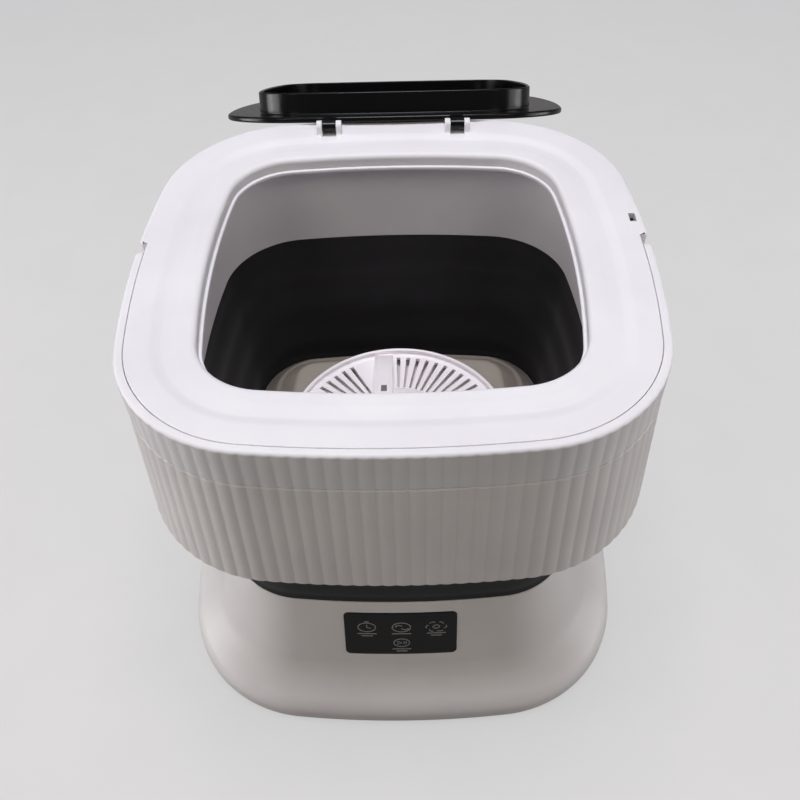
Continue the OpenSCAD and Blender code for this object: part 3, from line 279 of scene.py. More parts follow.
def smooth(mesh, sharp=SHARP):
    """Smooth shading, but for edges over sharp degrees."""
    mesh.shade_smooth()
    mesh.set_sharp_from_angle(angle=np.radians(sharp))


def dress(piece, body, finish, sharp=SHARP, replaces=()):
    """Smooths a piece, gives it its material and body, and hides the CAD nodes it stands for."""
    smooth(piece.data, sharp)
    piece.data.materials.clear()
    piece.data.materials.append(finish)
    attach(piece, body)
    if replaces:
        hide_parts(*replaces)
    return piece


def build(name, points, faces, body, slot, finish, sharp=SHARP, replaces=()):
    """One piece from points in mm and faces, merged and turned outwards."""
    mesh = bpy.data.meshes.new(name)
    mesh.from_pydata((np.reshape(points, (-1, 3)) * MM).tolist(), [], faces)
    bm = bmesh.new()
    bm.from_mesh(mesh)
    bmesh.ops.remove_doubles(bm, verts=bm.verts, dist=NEAR)
    bmesh.ops.dissolve_degenerate(bm, edges=bm.edges, dist=NEAR)
    bmesh.ops.recalc_face_normals(bm, faces=bm.faces)
    bm.to_mesh(mesh)
    bm.free()
    return dress(new_object(name, mesh), body, finish, sharp, replaces)


def soften(piece, width, segments, over=30):
    """Rounds a piece's edges of more than over degrees by a narrow bevel of width mm."""
    bevel = piece.modifiers.new("soft_edges", "BEVEL")
    bevel.width, bevel.segments = width * MM, segments
    bevel.limit_method, bevel.angle_limit = "ANGLE", np.radians(over)


def grid_faces(rows, columns, wrap_rows, wrap_columns):
    """Quads of a grid of rows by columns, which closes on itself where told."""
    i = np.arange(rows if wrap_rows else rows - 1)[:, None]
    j = np.arange(columns if wrap_columns else columns - 1)[None]
    i1, j1 = (i + 1) % rows, (j + 1) % columns
    corners = [i * columns + j, i1 * columns + j, i1 * columns + j1, i * columns + j1]
    return np.stack(corners, -1).reshape(-1, 4).tolist()


def tube_faces(rows, columns):
    """Quads of a tube of closed rows, with a cap over each end."""
    last = list(range((rows - 1) * columns, rows * columns))
    return grid_faces(rows, columns, False, True) + [list(range(columns)), last[::-1]]


def ring_points(s, t, z, scale=1.0):
    """Points at arc lengths s (rows), drawn in by t and at heights z (columns), in mm:
    (C(s) - t N(s)) * scale, with the outline's points C and normals N."""
    c, n = outline(s)
    t, z = (np.broadcast_to(a, (len(s), np.shape(a)[-1])) for a in (t, z))
    xy = (c[:, None] - t[..., None] * n[:, None]) * np.reshape(scale, (-1, 1))
    return np.concatenate([xy, z[..., None]], -1)


def ring_piece(name, section, s, body, slot, finish, fluted=0, replaces=()):
    """A closed section of [t, z] carried once round the outline. Where fluted is 1 the flutes are
    cut into it: t + FLUTE_D * groove(s)."""
    t = section[:, 0] + FLUTE_D * groove(s)[:, None] * fluted
    return build(name, ring_points(s, t, section[:, 1]), grid_faces(*t.shape, True, True), body,
                 slot, finish, replaces=replaces)


def joined(solids):
    """Several solids, each its points and its faces, as one, whose faces count on from solid to
    solid."""
    first = np.cumsum([0] + [len(points) for points, faces in solids]).tolist()
    moved = [[k + shift for k in face]
             for (points, faces), shift in zip(solids, first) for face in faces]
    return np.concatenate([points for points, faces in solids]), moved


def cut(piece, solids):
    """Takes closed solids out of a piece."""
    points, faces = joined(solids)
    mesh = bpy.data.meshes.new("cutter")
    mesh.from_pydata((points * MM).tolist(), [], faces)
    cutter = new_object("cutter", mesh)
    modifier = piece.modifiers.new("cut", "BOOLEAN")
    modifier.object, modifier.operation, modifier.solver = cutter, "DIFFERENCE", "EXACT"
    bpy.context.view_layer.update()
    final = piece.evaluated_get(bpy.context.evaluated_depsgraph_get())
    result = bpy.data.meshes.new_from_object(final)
    piece.modifiers.clear()
    piece.data = result
    bpy.data.objects.remove(cutter)
    smooth(result)


def prism(profile, low, high, axis=2):
    """A closed profile of points carried straight along an axis from low to high: its points and
    its faces."""
    n = len(profile)
    points = np.insert(np.tile(profile, (2, 1)), axis, np.repeat([low, high], n), axis=1)
    sides = [[i, (i + 1) % n, n + (i + 1) % n, n + i] for i in range(n)]
    return points, sides + [list(range(n))[::-1], list(range(n, 2 * n))]


def rectangle(x0, x1, y0, y1):
    """The four corners of an upright rectangle."""
    return np.array([[x0, y0], [x1, y0], [x1, y1], [x0, y1]])


def circle(x, y, r, n):
    """n points evenly round a circle about x, y."""
    a = np.arange(n) * 2 * np.pi / n
    return np.stack([x + r * np.cos(a), y + r * np.sin(a)], 1)


def arc(x, y, r, a0, a1, n=24):
    """n points of a circle about x, y, from a0 to a1 degrees."""
    a = np.radians(np.linspace(a0, a1, n))
    return np.stack([x + r * np.cos(a), y + r * np.sin(a)], 1)


# Base
# Directions up the foot's slope and up the wall, as [t, z]
slope_dir = unit(np.array([CREASE_T + FOOT_OUT, CREASE_Z - FOOT_EDGE_Z]))
wall_dir = unit(np.array([BODY_T - CREASE_T, BASE_TOP_Z - CREASE_Z]))


def wall_t(z, depth):
    """How far the base's wall is drawn in at height z, depth mm behind its face: its lean from
    the crease up, and the depth along the wall's normal."""
    return CREASE_T + (z - CREASE_Z) * wall_dir[0] / wall_dir[1] + depth / wall_dir[1]


def inward(v):
    """The normal into the base of a line that runs up along v: v turned a quarter clockwise."""
    return np.array([v[1], -v[0]])


def mitre(p, n1, n2, w):
    """The point w mm inside both lines that meet at p, with inward normals n1 and n2:
    p + (n1 + n2) w / (1 + n1 . n2)."""
    return p + (n1 + n2) * w / (1 + n1 @ n2)


crease_in = mitre(np.array([CREASE_T, CREASE_Z]), inward(slope_dir), inward(wall_dir), BASE_WALL)
edge_in = mitre(np.array([-FOOT_OUT, FOOT_EDGE_Z]), np.array([1.0, 0.0]), inward(slope_dir),
                BASE_WALL)
ledge_under = LEDGE_Z - LEDGE_H
base_section = rounded(
    [[-FOOT_OUT, FEET_H], [-FOOT_OUT, FOOT_EDGE_Z], [CREASE_T, CREASE_Z], [BODY_T, BASE_TOP_Z],
     [wall_t(BASE_TOP_Z, BASE_WALL), BASE_TOP_Z], [wall_t(LEDGE_Z, BASE_WALL), LEDGE_Z],
     [LEDGE_T, LEDGE_Z], [LEDGE_T, ledge_under], [wall_t(ledge_under, BASE_WALL), ledge_under],
     crease_in, edge_in, [BASE_WALL - FOOT_OUT, FEET_H]],
    [5.0, 20, 26, 1.6, 0.8, 0.3, 0.3, 0.3, 0.3, 29, 17, 0.6], n=8)
ring_piece("base_shell", base_section, steps(STEPS), "base", "shade_shell", abs_shell,
           replaces=["base_housing"])

# Tub floor
# A flat middle, a step down to a ring, and a slope down to the edge over the base's top. The
# middle is open under the pulsator, for FLOOR_HOLE of its width.
FLOOR_T, FLOOR_Z, FLOOR_WALL, FLOOR_HOLE = 84.0, 147.0, 3.0, 0.25
floor_edge_t, floor_under = BODY_T + BASE_WALL + 4.2, FLOOR_Z - FLOOR_WALL
floor_section = rounded(
    [[FLOOR_T, FLOOR_Z], [79.5, FLOOR_Z], [63.0, 132.0], [58.5, 131.0], [46.0, 118.2],
     [floor_edge_t, 116.2], [floor_edge_t, 114.4], [52.2, 114.4], [61.0, 128.6],
     [FLOOR_T, floor_under]],
    [0, 7, 8, 5, 4, 1.0, 0.3, 0, 0, 0], n=6, closed=False)
floor_t = np.concatenate([floor_section[:, 0], np.full(3, FLOOR_T)])
floor_z = np.concatenate([floor_section[:, 1], [floor_under, FLOOR_Z, FLOOR_Z]])
floor_scale = np.concatenate([np.ones(len(floor_section)), [FLOOR_HOLE, FLOOR_HOLE, 0.999]])
build("tub_floor_tray", ring_points(steps(DARK_STEPS), floor_t, floor_z, floor_scale),
      grid_faces(DARK_STEPS, len(floor_t), True, True), "base", "shade_shell", pp_floor,
      replaces=["tub_floor"])

# Bellows
# A thick rubber wall with soft folds outside and inside, a lip over the base's edge, a toe on the
# ledge and a flange under the collar. A fold is a full wave: (1 - cos) / 2 of FOLD_D.
BELLOWS_Z, BELLOWS_TOP_Z, TRAVEL, RUBBER_WALL, FLANGE_T = 103.3, 249.7, 118.0, 3.0, 23.0
FOLDS, FOLD_D, FOLD_Z, FOLD_TOP_Z, FOLD_TOP_T, FOLD_STEPS = 3, 2.2, 120.0, 238.0, 29.0, 49
neck_in = BODY_T + BASE_WALL + PLAY
fold_z = np.linspace(FOLD_Z, FOLD_TOP_Z, FOLD_STEPS)
rise = (fold_z - FOLD_Z) / (FOLD_TOP_Z - FOLD_Z)
fold_t = neck_in - FOLD_D + (FOLD_TOP_T - neck_in + FOLD_D) * rise
swell = FOLD_D * (0.5 - 0.5 * np.cos(2 * np.pi * FOLDS * rise))
outer = np.stack([fold_t + swell, fold_z], 1)
inner = np.stack([fold_t + RUBBER_WALL + swell * 0.9, fold_z], 1)[::-1]
lip = np.add([[0, BELLOWS_Z], [0, 114.4], [-2.8, 114.8], [-3.3, 115.6], [-3.2, 116.8],
              [-2.7, 118.2]], [neck_in, 0])
flange = [[FOLD_TOP_T, 240], [FOLD_TOP_T, 246], [28.4, 246.5], [23.4, 246.5], [FLANGE_T, 246.9],
          [FLANGE_T, 249.3], [23.4, BELLOWS_TOP_Z], [31.6, BELLOWS_TOP_Z], [32, 249.3], [32, 240]]
toe = np.add([[1.6, 118.2], [2.7, 115.5], [3, 112], [3, 107.6], [6.2, 107.3], [6.5, 107],
              [6.5, 103.6], [6.2, BELLOWS_Z]], [neck_in, 0])
bellows_section = np.concatenate([lip, outer, flange, inner, toe])
bellows = ring_piece("rubber_bellows", bellows_section, steps(DARK_STEPS), "base",
                     "bellows_rubber", tpe_rubber, replaces=["bellows"])
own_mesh(bellows)

# Tub collar
TUB_OUT_T, COLLAR_T, COLLAR_H = 29.5, 20.0, 3.0
collar_foot, collar_under = COLLAR_Z + COLLAR_H, COLLAR_TOP_Z - COLLAR_H
collar_section = rounded(
    [[FLANGE_T, COLLAR_Z], [FLANGE_T, collar_foot], [TUB_OUT_T, collar_foot],
     [TUB_OUT_T, collar_under], [COLLAR_T, collar_under], [COLLAR_T, COLLAR_TOP_Z],
     [LIP_T, COLLAR_TOP_Z], [LIP_T, collar_under], [TUB_T, collar_under], [TUB_T, COLLAR_Z]],
    [0.3, 0.3, 0.3, 0.3, 0.3, 0.3, 1.0, 0.8, 6, 0.5], n=6)
ring_piece("tub_wall", collar_section, steps(STEPS), "upper", "white_shell", abs_white,
           replaces=["tub_collar"])

# Fluted shell
# Its outer face leans out to SHELL_FLARE, and the flutes are cut into that face and over its edges.
SHELL_IN_T, SHELL_FOLD_T, SHELL_FLANGE_Z = 3.05, 18.0, SHELL_TOP_Z - 3
shell_section = rounded(
    [[0, SHELL_TOP_Z], [-SHELL_FLARE, SHELL_Z], [-1.65, SHELL_Z], [SHELL_IN_T, SHELL_FLANGE_Z],
     [SHELL_FOLD_T, SHELL_FLANGE_Z], [SHELL_FOLD_T, SHELL_TOP_Z]],
    [1.5, 0.9, 0.5, 0.5, 0.4, 0.4], n=5)
shell_t, shell_z = shell_section.T
on_face = (shell_t < 2.2) & ((shell_z > SHELL_Z + 2) | (shell_t < -3.4))
ring_piece("fluted_shell", shell_section, steps(FLUTES * RIB_STEPS), "upper", "shade_shell",
           abs_shell, fluted=on_face, replaces=["outer_shell"])

# Top cover
# The rim falls over SLOPE_W, in SLOPE_STEPS, to a gutter that lies GUTTER below the lid's seat.
SLOPE_T, SLOPE_W, GUTTER, SLOPE_STEPS = 20.0, 9.0, 1.0, 9


def cover_section(front):
    """The cover's section, behind the handle or at the rear apron: both have the same number of
    points. The rim falls in a soft S, of which 1 - (1 - k)^2 (1 + 2k) is done after the share k
    of its width, and the gutter rises gently to the seat."""
    out, hollow, edge_r = (RECESS_T, RECESS_T + WALL, 0.6) if front else (0, FLUTE_D + WALL, 2.4)
    k = np.linspace(0, 1, SLOPE_STEPS + 1)[1:]
    drop = 1 - (1 - k) ** 2 * (1 + 2 * k)
    slope = np.stack([SLOPE_T + SLOPE_W * k, RIM_Z - (RIM_Z - SEAT_Z + GUTTER) * drop], 1)
    neck_z, under = COLLAR_TOP_Z + 0.3, SEAT_Z - 3
    return rounded(
        [[out, COVER_Z], [out, RIM_Z], [SLOPE_T, RIM_Z], *slope, [SLOPE_T + 2 * SLOPE_W, SEAT_Z],
         [NECK_T, SEAT_Z], [NECK_T, neck_z], [NECK_T - WALL, neck_z], [NECK_T - WALL, under],
         [hollow, under], [hollow, COVER_Z]],
        [0.4, edge_r, 0, *[0] * SLOPE_STEPS, 30, 3.6, 0.6, 0.3, 0.3, 0.3, 0.3], support=0.4)


# The apron runs round the back from notch to notch, and its two ends are rounded by END_R. Between
# them, round the front, the cover is drawn in by RECESS_T. rear is 1 on the apron and 0 in front.
END_R, FRONT_STEPS = 4.0, 300
front_section, rear_section = cover_section(True), cover_section(False)
end_s = END_R * (1 - np.cos(np.linspace(0, np.pi / 2, 7)))
end_t = END_R - np.sqrt(np.maximum(0, END_R ** 2 - (END_R - end_s) ** 2))
notch_s = np.concatenate([[NOTCH_Y], NOTCH_Y + end_s])
notch_t = np.concatenate([[RECESS_T], end_t])
apron_s = np.linspace(NOTCH_Y + END_R, 2 * QUARTER - NOTCH_Y - END_R,
                      FLUTES * RIB_STEPS // 2)[1:-1]
front_s = np.linspace(2 * QUARTER - NOTCH_Y, 4 * QUARTER + NOTCH_Y, FRONT_STEPS)[1:-1]
cover_s = np.concatenate([notch_s, apron_s, 2 * QUARTER - notch_s[::-1], front_s])
skin_t = np.concatenate([notch_t, np.zeros(len(apron_s)), notch_t[::-1],
                         np.full(len(front_s), RECESS_T)])[:, None]
rear = np.concatenate([[0], np.ones(2 * len(end_s) + len(apron_s)), [0],
                       np.zeros(len(front_s))])[:, None]
cover_t = front_section[:, 0] * (1 - rear) + rear_section[:, 0] * rear
cover_z = front_section[:, 1] * (1 - rear) + rear_section[:, 1] * rear
on_skin = rear_section[:, 0] < 2.6
cover_flutes = FLUTE_D * (groove(cover_s)[:, None] * np.clip(1 - skin_t, 0, 1)) * fade(cover_z)
cover_t = cover_t + on_skin * rear * (skin_t + cover_flutes)
top_cover = build("top_frame", ring_points(cover_s, cover_t, cover_z),
                  grid_faces(*cover_t.shape, True, True), "upper", "white_shell", abs_white,
                  replaces=["top_cover"])

# Cut into it: the hook slot on the right, and a pocket for each knuckle of the lid
SLOT_X, SLOT_Y, SLOT_W, SLOT_L, SLOT_Z = TOP_W / 2 - 8, 36.0, 4.5, 9.0, 300.0
POCKET_Y, POCKET_BACK_Y, ABOVE_Z = 140.0, 159.0, 350.0
pocket = KNUCKLE_W / 2 + PLAY
cut(top_cover,
    [prism(rectangle(SLOT_X - SLOT_W / 2, SLOT_X + SLOT_W / 2, SLOT_Y - SLOT_L / 2,
                     SLOT_Y + SLOT_L / 2), SLOT_Z, ABOVE_Z)]
    + [prism(rectangle(x - pocket, x + pocket, POCKET_Y, POCKET_BACK_Y), SEAT_Z, ABOVE_Z)
       for x in (-HINGE_X, HINGE_X)])

# Handle
# Round the front half, fluted outside. Towards each end the section's lower edge follows an arc
# about the pivot, and the end itself is rounded from above by TOP_R, outside by OUT_R and inside
# by IN_R. The ends' steps are finer, over END_LEN.
OUT_R, IN_R, TOP_R, END_LEN, PIN_HOLE_R = 4.0, 1.2, 3.0, 26.0, 4.05
start, stop = 2 * QUARTER - PIVOT_Y - HANDLE_END, 4 * QUARTER + PIVOT_Y + HANDLE_END
end_steps = np.concatenate([OUT_R * (1 - np.cos(np.linspace(0, np.pi / 2, 9))),
                            np.linspace(OUT_R, END_LEN, 36)[1:]])
middle_s = np.linspace(start + END_LEN, stop - END_LEN, FLUTES * RIB_STEPS // 2)[1:-1]
handle_s = np.concatenate([start + end_steps, middle_s, stop - end_steps[::-1]])
inside = np.minimum(handle_s - start, stop - handle_s)[:, None]
behind = outline(handle_s)[0][:, 1:] - PIVOT_Y
low = -np.sqrt(np.maximum(0, HANDLE_R ** 2 - np.maximum(behind, 0) ** 2))
over = np.clip(behind - (HANDLE_END - TOP_R), 0, TOP_R)
high = HANDLE_R - TOP_R + np.sqrt(TOP_R ** 2 - over ** 2)


def round_in(r):
    """How far a skin is drawn in by a round of radius r at the handle's ends:
    r - sqrt(r^2 - (r - inside)^2) within r of an end, and 0 further in."""
    return r - np.sqrt(r ** 2 - np.clip(r - inside, 0, r) ** 2)


# Heights are stretched between low and high, but near an edge they keep their distance from it,
# so that it stays round. The flutes run out over RUN_OUT before the ends.
TOP_EDGE, LOW_EDGE, RUN_OUT = 2.2, 1.2, 6.0
band_t, band_z = rounded(
    [[0, BAND_Z], [0, RIM_Z], [HANDLE_T, RIM_Z], [HANDLE_T, BAND_Z]],
    [0.7, 2.6, 0.6, 0.5], n=6, support=0.4).T
share = (band_z - BAND_Z) / (RIM_Z - BAND_Z)
handle_z = PIVOT_Z + low * (1 - share) + high * share
handle_z = np.where(band_z > RIM_Z - TOP_EDGE, PIVOT_Z + high - (RIM_Z - band_z), handle_z)
handle_z = np.where(band_z < BAND_Z + LOW_EDGE, PIVOT_Z + low + (band_z - BAND_Z), handle_z)
outside = np.clip(1 - band_t / HANDLE_T, 0, 1)
handle_t = band_t + outside * round_in(OUT_R) - (1 - outside) * round_in(IN_R)
handle_flutes = FLUTE_D * groove(handle_s)[:, None] * np.clip(inside / RUN_OUT, 0, 1)
handle_t += (band_t < 2.7) * fade(band_z) * handle_flutes
handle = build("carry_band", ring_points(handle_s, handle_t, handle_z),
               tube_faces(*handle_t.shape), "handle", "white_shell", abs_white,
               replaces=["carry_handle"])
cut(handle, [prism(circle(PIVOT_Y, PIVOT_Z, PIN_HOLE_R, 40), -200, 200, axis=0)])


# Lid
# Drawn closed, then swung open about its hinge axis.
def swing(points):
    """Points of the closed lid, turned open about the hinge axis by LID_OPEN degrees."""
    a = -np.radians(LID_OPEN)
    x, y, z = np.reshape(points, (-1, 3)).T - [[0], [HINGE_Y], [HINGE_Z]]
    return np.stack([x, HINGE_Y + y * np.cos(a) - z * np.sin(a),
                     HINGE_Z + y * np.sin(a) + z * np.cos(a)], 1)


# The plate with its bead round the edge, and under it the ring that plugs the neck
LID_Z, LID_THICK, LID_EDGE_T, LID_FLAT_T, BEAD_H = 339.8, 3.0, 25.7, 62.0, 1.6
PLUG_T, PLUG_WALL, PLUG_H = 53.3, 2.5, 17.0
lid_top, bead_top = LID_Z + LID_THICK, LID_Z + LID_THICK + BEAD_H
plug_in_t, plug_low = PLUG_T + PLUG_WALL, LID_Z - PLUG_H
lid_section = rounded(
    [[LID_FLAT_T, lid_top], [30.4, lid_top], [28.8, bead_top], [LID_EDGE_T, bead_top],
     [LID_EDGE_T, LID_Z], [PLUG_T, LID_Z], [PLUG_T, plug_low], [plug_in_t, plug_low],
     [plug_in_t, LID_Z], [LID_FLAT_T, LID_Z]],
    [0, 1.2, 1.0, 1.6, 1.6, 0.8, 0.9, 0.9, 0.8, 0], n=6, closed=False)
flat_t = np.full(2, LID_FLAT_T)
lid_t = np.concatenate([flat_t, lid_section[:, 0], flat_t])
lid_z = np.concatenate([np.full(2, lid_top), lid_section[:, 1], np.full(2, LID_Z)])
lid_scale = np.concatenate([[0, 0.5], np.ones(len(lid_section)), [0.5, 0]])
build("lid_panel", swing(ring_points(steps(DARK_STEPS), lid_t, lid_z, lid_scale)),
      grid_faces(DARK_STEPS, len(lid_t), True, False), "lid", "smoked_lid", smoked_pc,
      replaces=["lid"])

# Each hinge leaf is a round knuckle with a web that runs tangent into the lid's edge
PIN_R, WEB_GAP = 1.55, 0.4
edge_y, web_z = TOP_D / 2 - LID_EDGE_T - HINGE_Y, LID_Z - HINGE_Z
leaf = np.concatenate([
    arc(0, 0, KNUCKLE_R, -90, 204, 30),
    [[edge_y + 4, web_z + LID_THICK], [edge_y - 3, web_z + LID_THICK],
     [edge_y - 3, web_z + WEB_GAP], [edge_y, web_z + WEB_GAP]]])
for name, x in (("hinge_leaf_left", -HINGE_X), ("hinge_leaf_right", HINGE_X)):
    points, faces = prism(leaf + [HINGE_Y, HINGE_Z], x - KNUCKLE_W / 2, x + KNUCKLE_W / 2, axis=0)
    piece = build(name, swing(points), faces, "lid", "smoked_lid", smoked_pc)
    cut(piece, [prism(circle(HINGE_Y, HINGE_Z, PIN_R, 24), x - 8, x + 8, axis=0)])

# White ears on the rim, two to a hinge: a round top about the pin, on a foot that flares into the
# rim
EAR_R = KNUCKLE_R + EAR_PLAY
ear_foot = np.stack([EAR_R + np.array([1.6, 0.5, 0.0]),
                     RIM_Z + np.array([-0.5, 0.4, 1.6]) - HINGE_Z], 1)
ear = np.concatenate([ear_foot, arc(0, 0, EAR_R, 0, 180, 17), ear_foot[::-1] * [-1, 1]])
for side, x in (("left", -HINGE_X), ("right", HINGE_X)):
    for end, e in (("outer", -1), ("inner", 1)):
        middle = x + e * (KNUCKLE_W / 2 + EAR_PLAY + EAR_W / 2)
        points, faces = prism(ear + [HINGE_Y, HINGE_Z], middle - EAR_W / 2, middle + EAR_W / 2,
                              axis=0)
        piece = build(f"hinge_ear_{side}_{end}", points, faces, "upper", "white_shell", abs_white)
        soften(piece, 0.8, 3)

# Pulsator
# The CAD node's own mesh, merged into one skin of flat faces, with narrow rounded edges.
DISH_SHARP = 40
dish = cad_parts["pulsator"].data.copy()
bm = bmesh.new()
bm.from_mesh(dish)
bmesh.ops.remove_doubles(bm, verts=bm.verts, dist=2 * NEAR)
bmesh.ops.dissolve_degenerate(bm, edges=bm.edges, dist=NEAR)
bmesh.ops.dissolve_limit(bm, angle_limit=np.radians(1.0), verts=bm.verts, edges=bm.edges)
bm.to_mesh(dish)
bm.free()
pulsator = dress(new_object("pulsator_dish", dish), "agitator", pp_white,
                 DISH_SHARP, ["pulsator"])
soften(pulsator, 0.45, 2, DISH_SHARP)

# Touch panel
PANEL_W, PANEL_H, PANEL_R, PANEL_DROP = 88.0, 45.0, 4.0, 10.0
PANEL_PROUD, PANEL_DEPTH, PANEL_EDGE = 0.4, 1.8, 0.35
PANEL_V = PANEL_DROP + PANEL_H / 2


def on_wall(x, v, depth):
    """Points of the front wall, x across and v mm down it from its top edge, depth mm behind its
    face: y is the wall's distance from the axis, less what the crown falls back at x."""
    z = BASE_TOP_Z - v * wall_dir[1]
    crown = CROWN_FRONT - np.sqrt(CROWN_FRONT ** 2 - x ** 2)
    return np.stack([x, -(TOP_D / 2 - wall_t(z, depth)) + crown, z + 0 * x], -1)


def plate_outline(w, h, r, n, m):
    """A rounded rectangle about its own centre: n points round each corner, m along each side."""
    turns = [arc(sx * (w / 2 - r), sy * (h / 2 - r), r, 90 * i - 90, 90 * i, n)
             for i, (sx, sy) in enumerate([(1, -1), (1, 1), (-1, 1), (-1, -1)])]
    sides = [a[-1] + (b[0] - a[-1]) * (np.arange(m) / m)[:, None]
             for a, b in zip(turns, turns[1:] + turns[:1])]
    return np.concatenate([part for a, side in zip(turns, sides) for part in (a[:-1], side)])


# Rings of the panel's outline, from behind the wall's face round a rolled edge to the panel's own
# face, where they flatten to its middle line: how tall, how much shrunk and how deep each ring is.
roll = np.radians([30, 60, 90])
tall = np.concatenate([np.ones(5), [0.9, 0.6, 0.3, 0.0]])[:, None]
shrink = np.concatenate([[0, 0], PANEL_EDGE * (1 - np.cos(roll)), np.full(4, PANEL_EDGE)])[:, None]
depth = np.concatenate([[PANEL_DEPTH, -PANEL_PROUD + PANEL_EDGE],
                        -PANEL_PROUD + PANEL_EDGE * (1 - np.sin(roll)),
                        np.full(4, -PANEL_PROUD)])[:, None]
panel_rim = plate_outline(PANEL_W, PANEL_H, PANEL_R, 8, 14)
panel_x = panel_rim[:, 0] * ((PANEL_W - 2 * shrink) / PANEL_W)
panel_v = panel_rim[:, 1] * ((PANEL_H - 2 * shrink) / PANEL_H) * tall
build("touch_panel", on_wall(panel_x, PANEL_V + panel_v, depth),
      grid_faces(*panel_x.shape, False, True), "base", "gloss_panel", acrylic_black, sharp=30,
      replaces=["control_panel"])

# Generic signs: a timer, a drum, drops being spun out, and start and pause, with short bars under
# each. Their ink stands from just inside the panel's face to 0.06 mm above it.
INK = np.array([-0.3, -0.46, -0.46, -0.3])
STRETCH = np.array([1.15, 0.78])
LEFT_X, MID_X, RIGHT_X, ROW_Y, LOW_Y = -26.4, 0.6, 27.8, 7.2, -9.6
LINE, THIN, KNOB, BAR = 0.9, 0.8, 1.0, 1.1


def stroke(path, width):
    """A ribbon on the panel, its points and faces: a path in mm about the panel's middle, half
    the width to each side along its normals."""
    d = np.gradient(path, axis=0)
    d /= np.linalg.norm(d, axis=1)[:, None]
    n = np.stack([-d[:, 1], d[:, 0]], 1) * width / 2
    p = np.stack([path + n, path + n, path - n, path - n], 1)
    points = on_wall(p[..., 0], PANEL_V - p[..., 1], INK).reshape(-1, 3)
    return points, tube_faces(len(path), 4)


def sign(x, y, paths):
    """Strokes of a sign about x, y."""
    return [stroke(np.asarray(path) * STRETCH + [x, y], width) for path, width in paths]


timer = [(arc(0, 0, 6.0, 0, 352), LINE), ([[0, 3.6], [0, 0], [2.8, -1.4]], LINE),
         ([[-1.6, 7.6], [1.6, 7.6]], KNOB)]
drum = [(arc(0, 0, 6.2, 0, 352), LINE), (arc(-1.6, 0.4, 2.4, 30, 180), LINE),
        (arc(2.4, -0.6, 2.4, 200, 350), LINE)]
drops = [(arc(4.8 * np.cos(a), 4.8 * np.sin(a), 2.2, np.degrees(a) - 80, np.degrees(a) + 40, 8),
          LINE) for a in np.radians(np.arange(0, 360, 60))]
spin = [(arc(0, 0, 2.2, 0, 350), LINE)] + drops
start_pause = [(arc(0, 0, 5.4, 0, 352), LINE),
               ([[-2.8, 2.2], [-2.8, -2.2], [0.2, 0], [-2.4, 2.0]], THIN),
               ([[1.6, 2.0], [1.6, -2.0]], THIN), ([[3.0, 1.8], [3.0, -1.8]], THIN)]
bars = [([[-6.5, -8.8], [6.5, -8.8]], BAR), ([[-3.8, -11.8], [3.8, -11.8]], BAR)]
signs = sign(LEFT_X, ROW_Y, timer + bars) + sign(MID_X, ROW_Y, drum + bars[:1])
signs += sign(RIGHT_X, ROW_Y, spin + bars) + sign(MID_X, LOW_Y, start_pause + bars)
build("panel_signs", *joined(signs), "base", "gloss_panel", print_grey, sharp=60)

# Carried-over CAD nodes
for finish, nodes in (
        (abs_shell, ["bottom_plate"]),
        (pp_white, ["pulsator_cap"]),
        (solder_mask, ["control_board"]),
        (nitrile, ["rubber_feet", "shaft_seal", "drive_belt"]),
        (abs_black, ["lower_clamp_ring", "upper_clamp_ring", "bearing_housing", "driven_pulley",
                     "motor_pulley", "power_inlet", "drain_pipe", "drain_spigot"]),
        (zinc_steel, ["bottom_screws", "floor_screws", "clamp_screws", "collar_screws",
                      "shell_screws", "handle_pivot_pins", "lid_hinge_pins", "pulsator_screw",
                      "drive_shaft", "upper_bearing", "lower_bearing", "pulley_nut", "motor",
                      "motor_shaft", "motor_bracket", "bracket_screws"])):
    for node in nodes:
        for material_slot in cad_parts[node].material_slots:
            material_slot.material = finish

# Floor and light
floor_mesh = bpy.data.meshes.new("studio_floor")
floor_mesh.from_pydata([(-6, -6, 0), (6, -6, 0), (6, 6, 0), (-6, 6, 0)], [], [(0, 1, 2, 3)])
studio_floor = new_object("studio_floor", floor_mesh)
paper = material("studio_paper", "#807c77", "#84807b", 0.85, 3.0, 0.01, Specular_IOR_Level=0.2)
floor_mesh.materials.append(paper)

# The floor and the backdrop are pale to the camera, and at MIRRORED of that in reflections and
# through the lid, but give the object next to no light of their own.
PALE, FLOOR_GLOW, WORLD_GLOW, WORLD_LIGHT, MIRRORED = "#e4e5e8", 0.64, 0.72, 0.04, 0.25


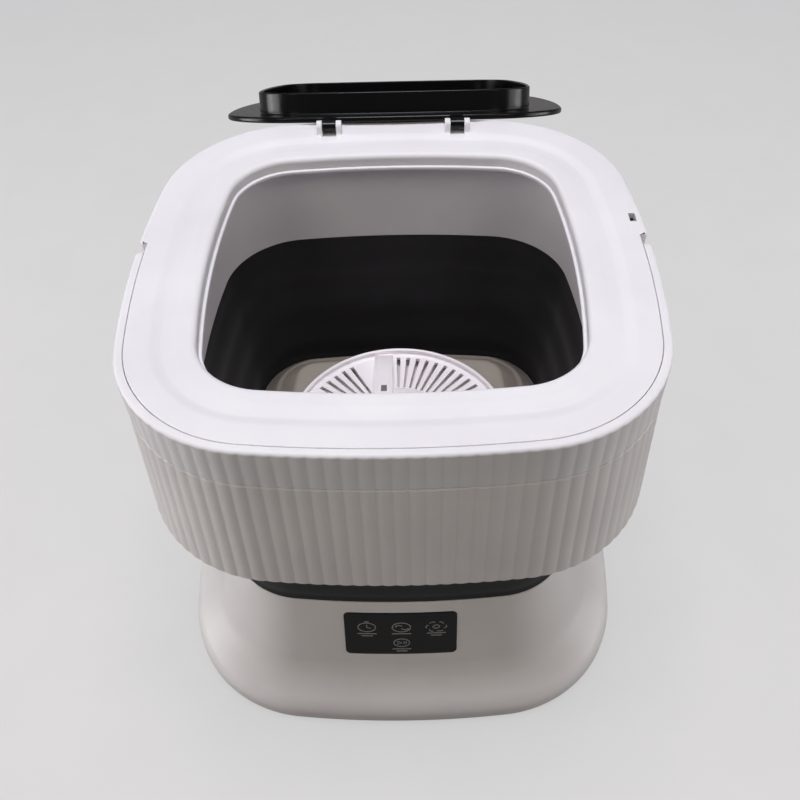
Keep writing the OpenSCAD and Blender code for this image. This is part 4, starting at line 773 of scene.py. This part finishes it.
def seen(tree, level, light=0.0):
    """A strength of level to camera rays, level * MIRRORED to glossy and transmitted rays, plus
    light to all."""
    ray = add(tree, "ShaderNodeLightPath").outputs
    mirrored = add(tree, "ShaderNodeMath", {0: ray["Is Glossy Ray"], 1: ray["Is Transmission Ray"]},
                   operation="MAXIMUM")
    dim = add(tree, "ShaderNodeMath", {0: mirrored.outputs[0], 1: level * MIRRORED, 2: light},
              operation="MULTIPLY_ADD")
    return add(tree, "ShaderNodeMath", {0: ray["Is Camera Ray"], 1: level, 2: dim.outputs[0]},
               operation="MULTIPLY_ADD").outputs[0]


paper_shader = paper.node_tree.nodes["Principled BSDF"]
paper_shader.inputs["Emission Color"].default_value = linear(PALE)
paper.node_tree.links.new(seen(paper.node_tree, FLOOR_GLOW),
                          paper_shader.inputs["Emission Strength"])

LAMP_AIM = (0.0, 0.0, 0.2)
COOL, PLAIN, WARM = (0.94, 0.935, 1.0), (1.0, 0.99, 1.0), (1.0, 0.92, 0.8)
SQUARE, FLAT = (0.8, 0.8), (0.26, 1.2)


def softbox(name, place, size, power, colour, spread=180):
    """A rectangular lamp of size metres at place, facing LAMP_AIM, its light kept to a fan of
    spread degrees."""
    lamp = bpy.data.lights.new(name, "AREA")
    lamp.shape, lamp.size, lamp.size_y = "RECTANGLE", *size
    lamp.energy, lamp.color, lamp.spread = power, colour, np.radians(spread)
    z = unit(np.subtract(place, LAMP_AIM))
    x = unit(np.cross((0.0, 1.0, 0.01), z))
    new_object(name, lamp).matrix_world = placed(x, np.cross(z, x), z, place)


# One lamp overhead, a broad one and a low one at each side, and two in front
softbox("overhead", (0.0, 0.06, 2.1), SQUARE, 27.2, COOL)
softbox("left", (-1.8, -0.1, 0.6), SQUARE, 10.5, PLAIN)
softbox("right", (1.8, -0.1, 0.6), SQUARE, 5.0, PLAIN)
softbox("left_low", (-1.4, -0.1, 0.17), FLAT, 1.2, PLAIN, 80)
softbox("right_low", (1.4, -0.1, 0.17), FLAT, 1.0, PLAIN, 80)
softbox("front_left", (-1.0, -1.0, 1.6), SQUARE, 5.0, WARM)
softbox("front_right", (1.0, -1.0, 1.6), SQUARE, 4.3, WARM)
world = bpy.data.worlds.new("studio")
bpy.context.scene.world = world
world.use_nodes = True
background = world.node_tree.nodes["Background"]
background.inputs["Color"].default_value = linear(PALE)
world.node_tree.links.new(seen(world.node_tree, WORLD_GLOW, WORLD_LIGHT),
                          background.inputs["Strength"])
bpy.context.scene.view_settings.view_transform = "Standard"
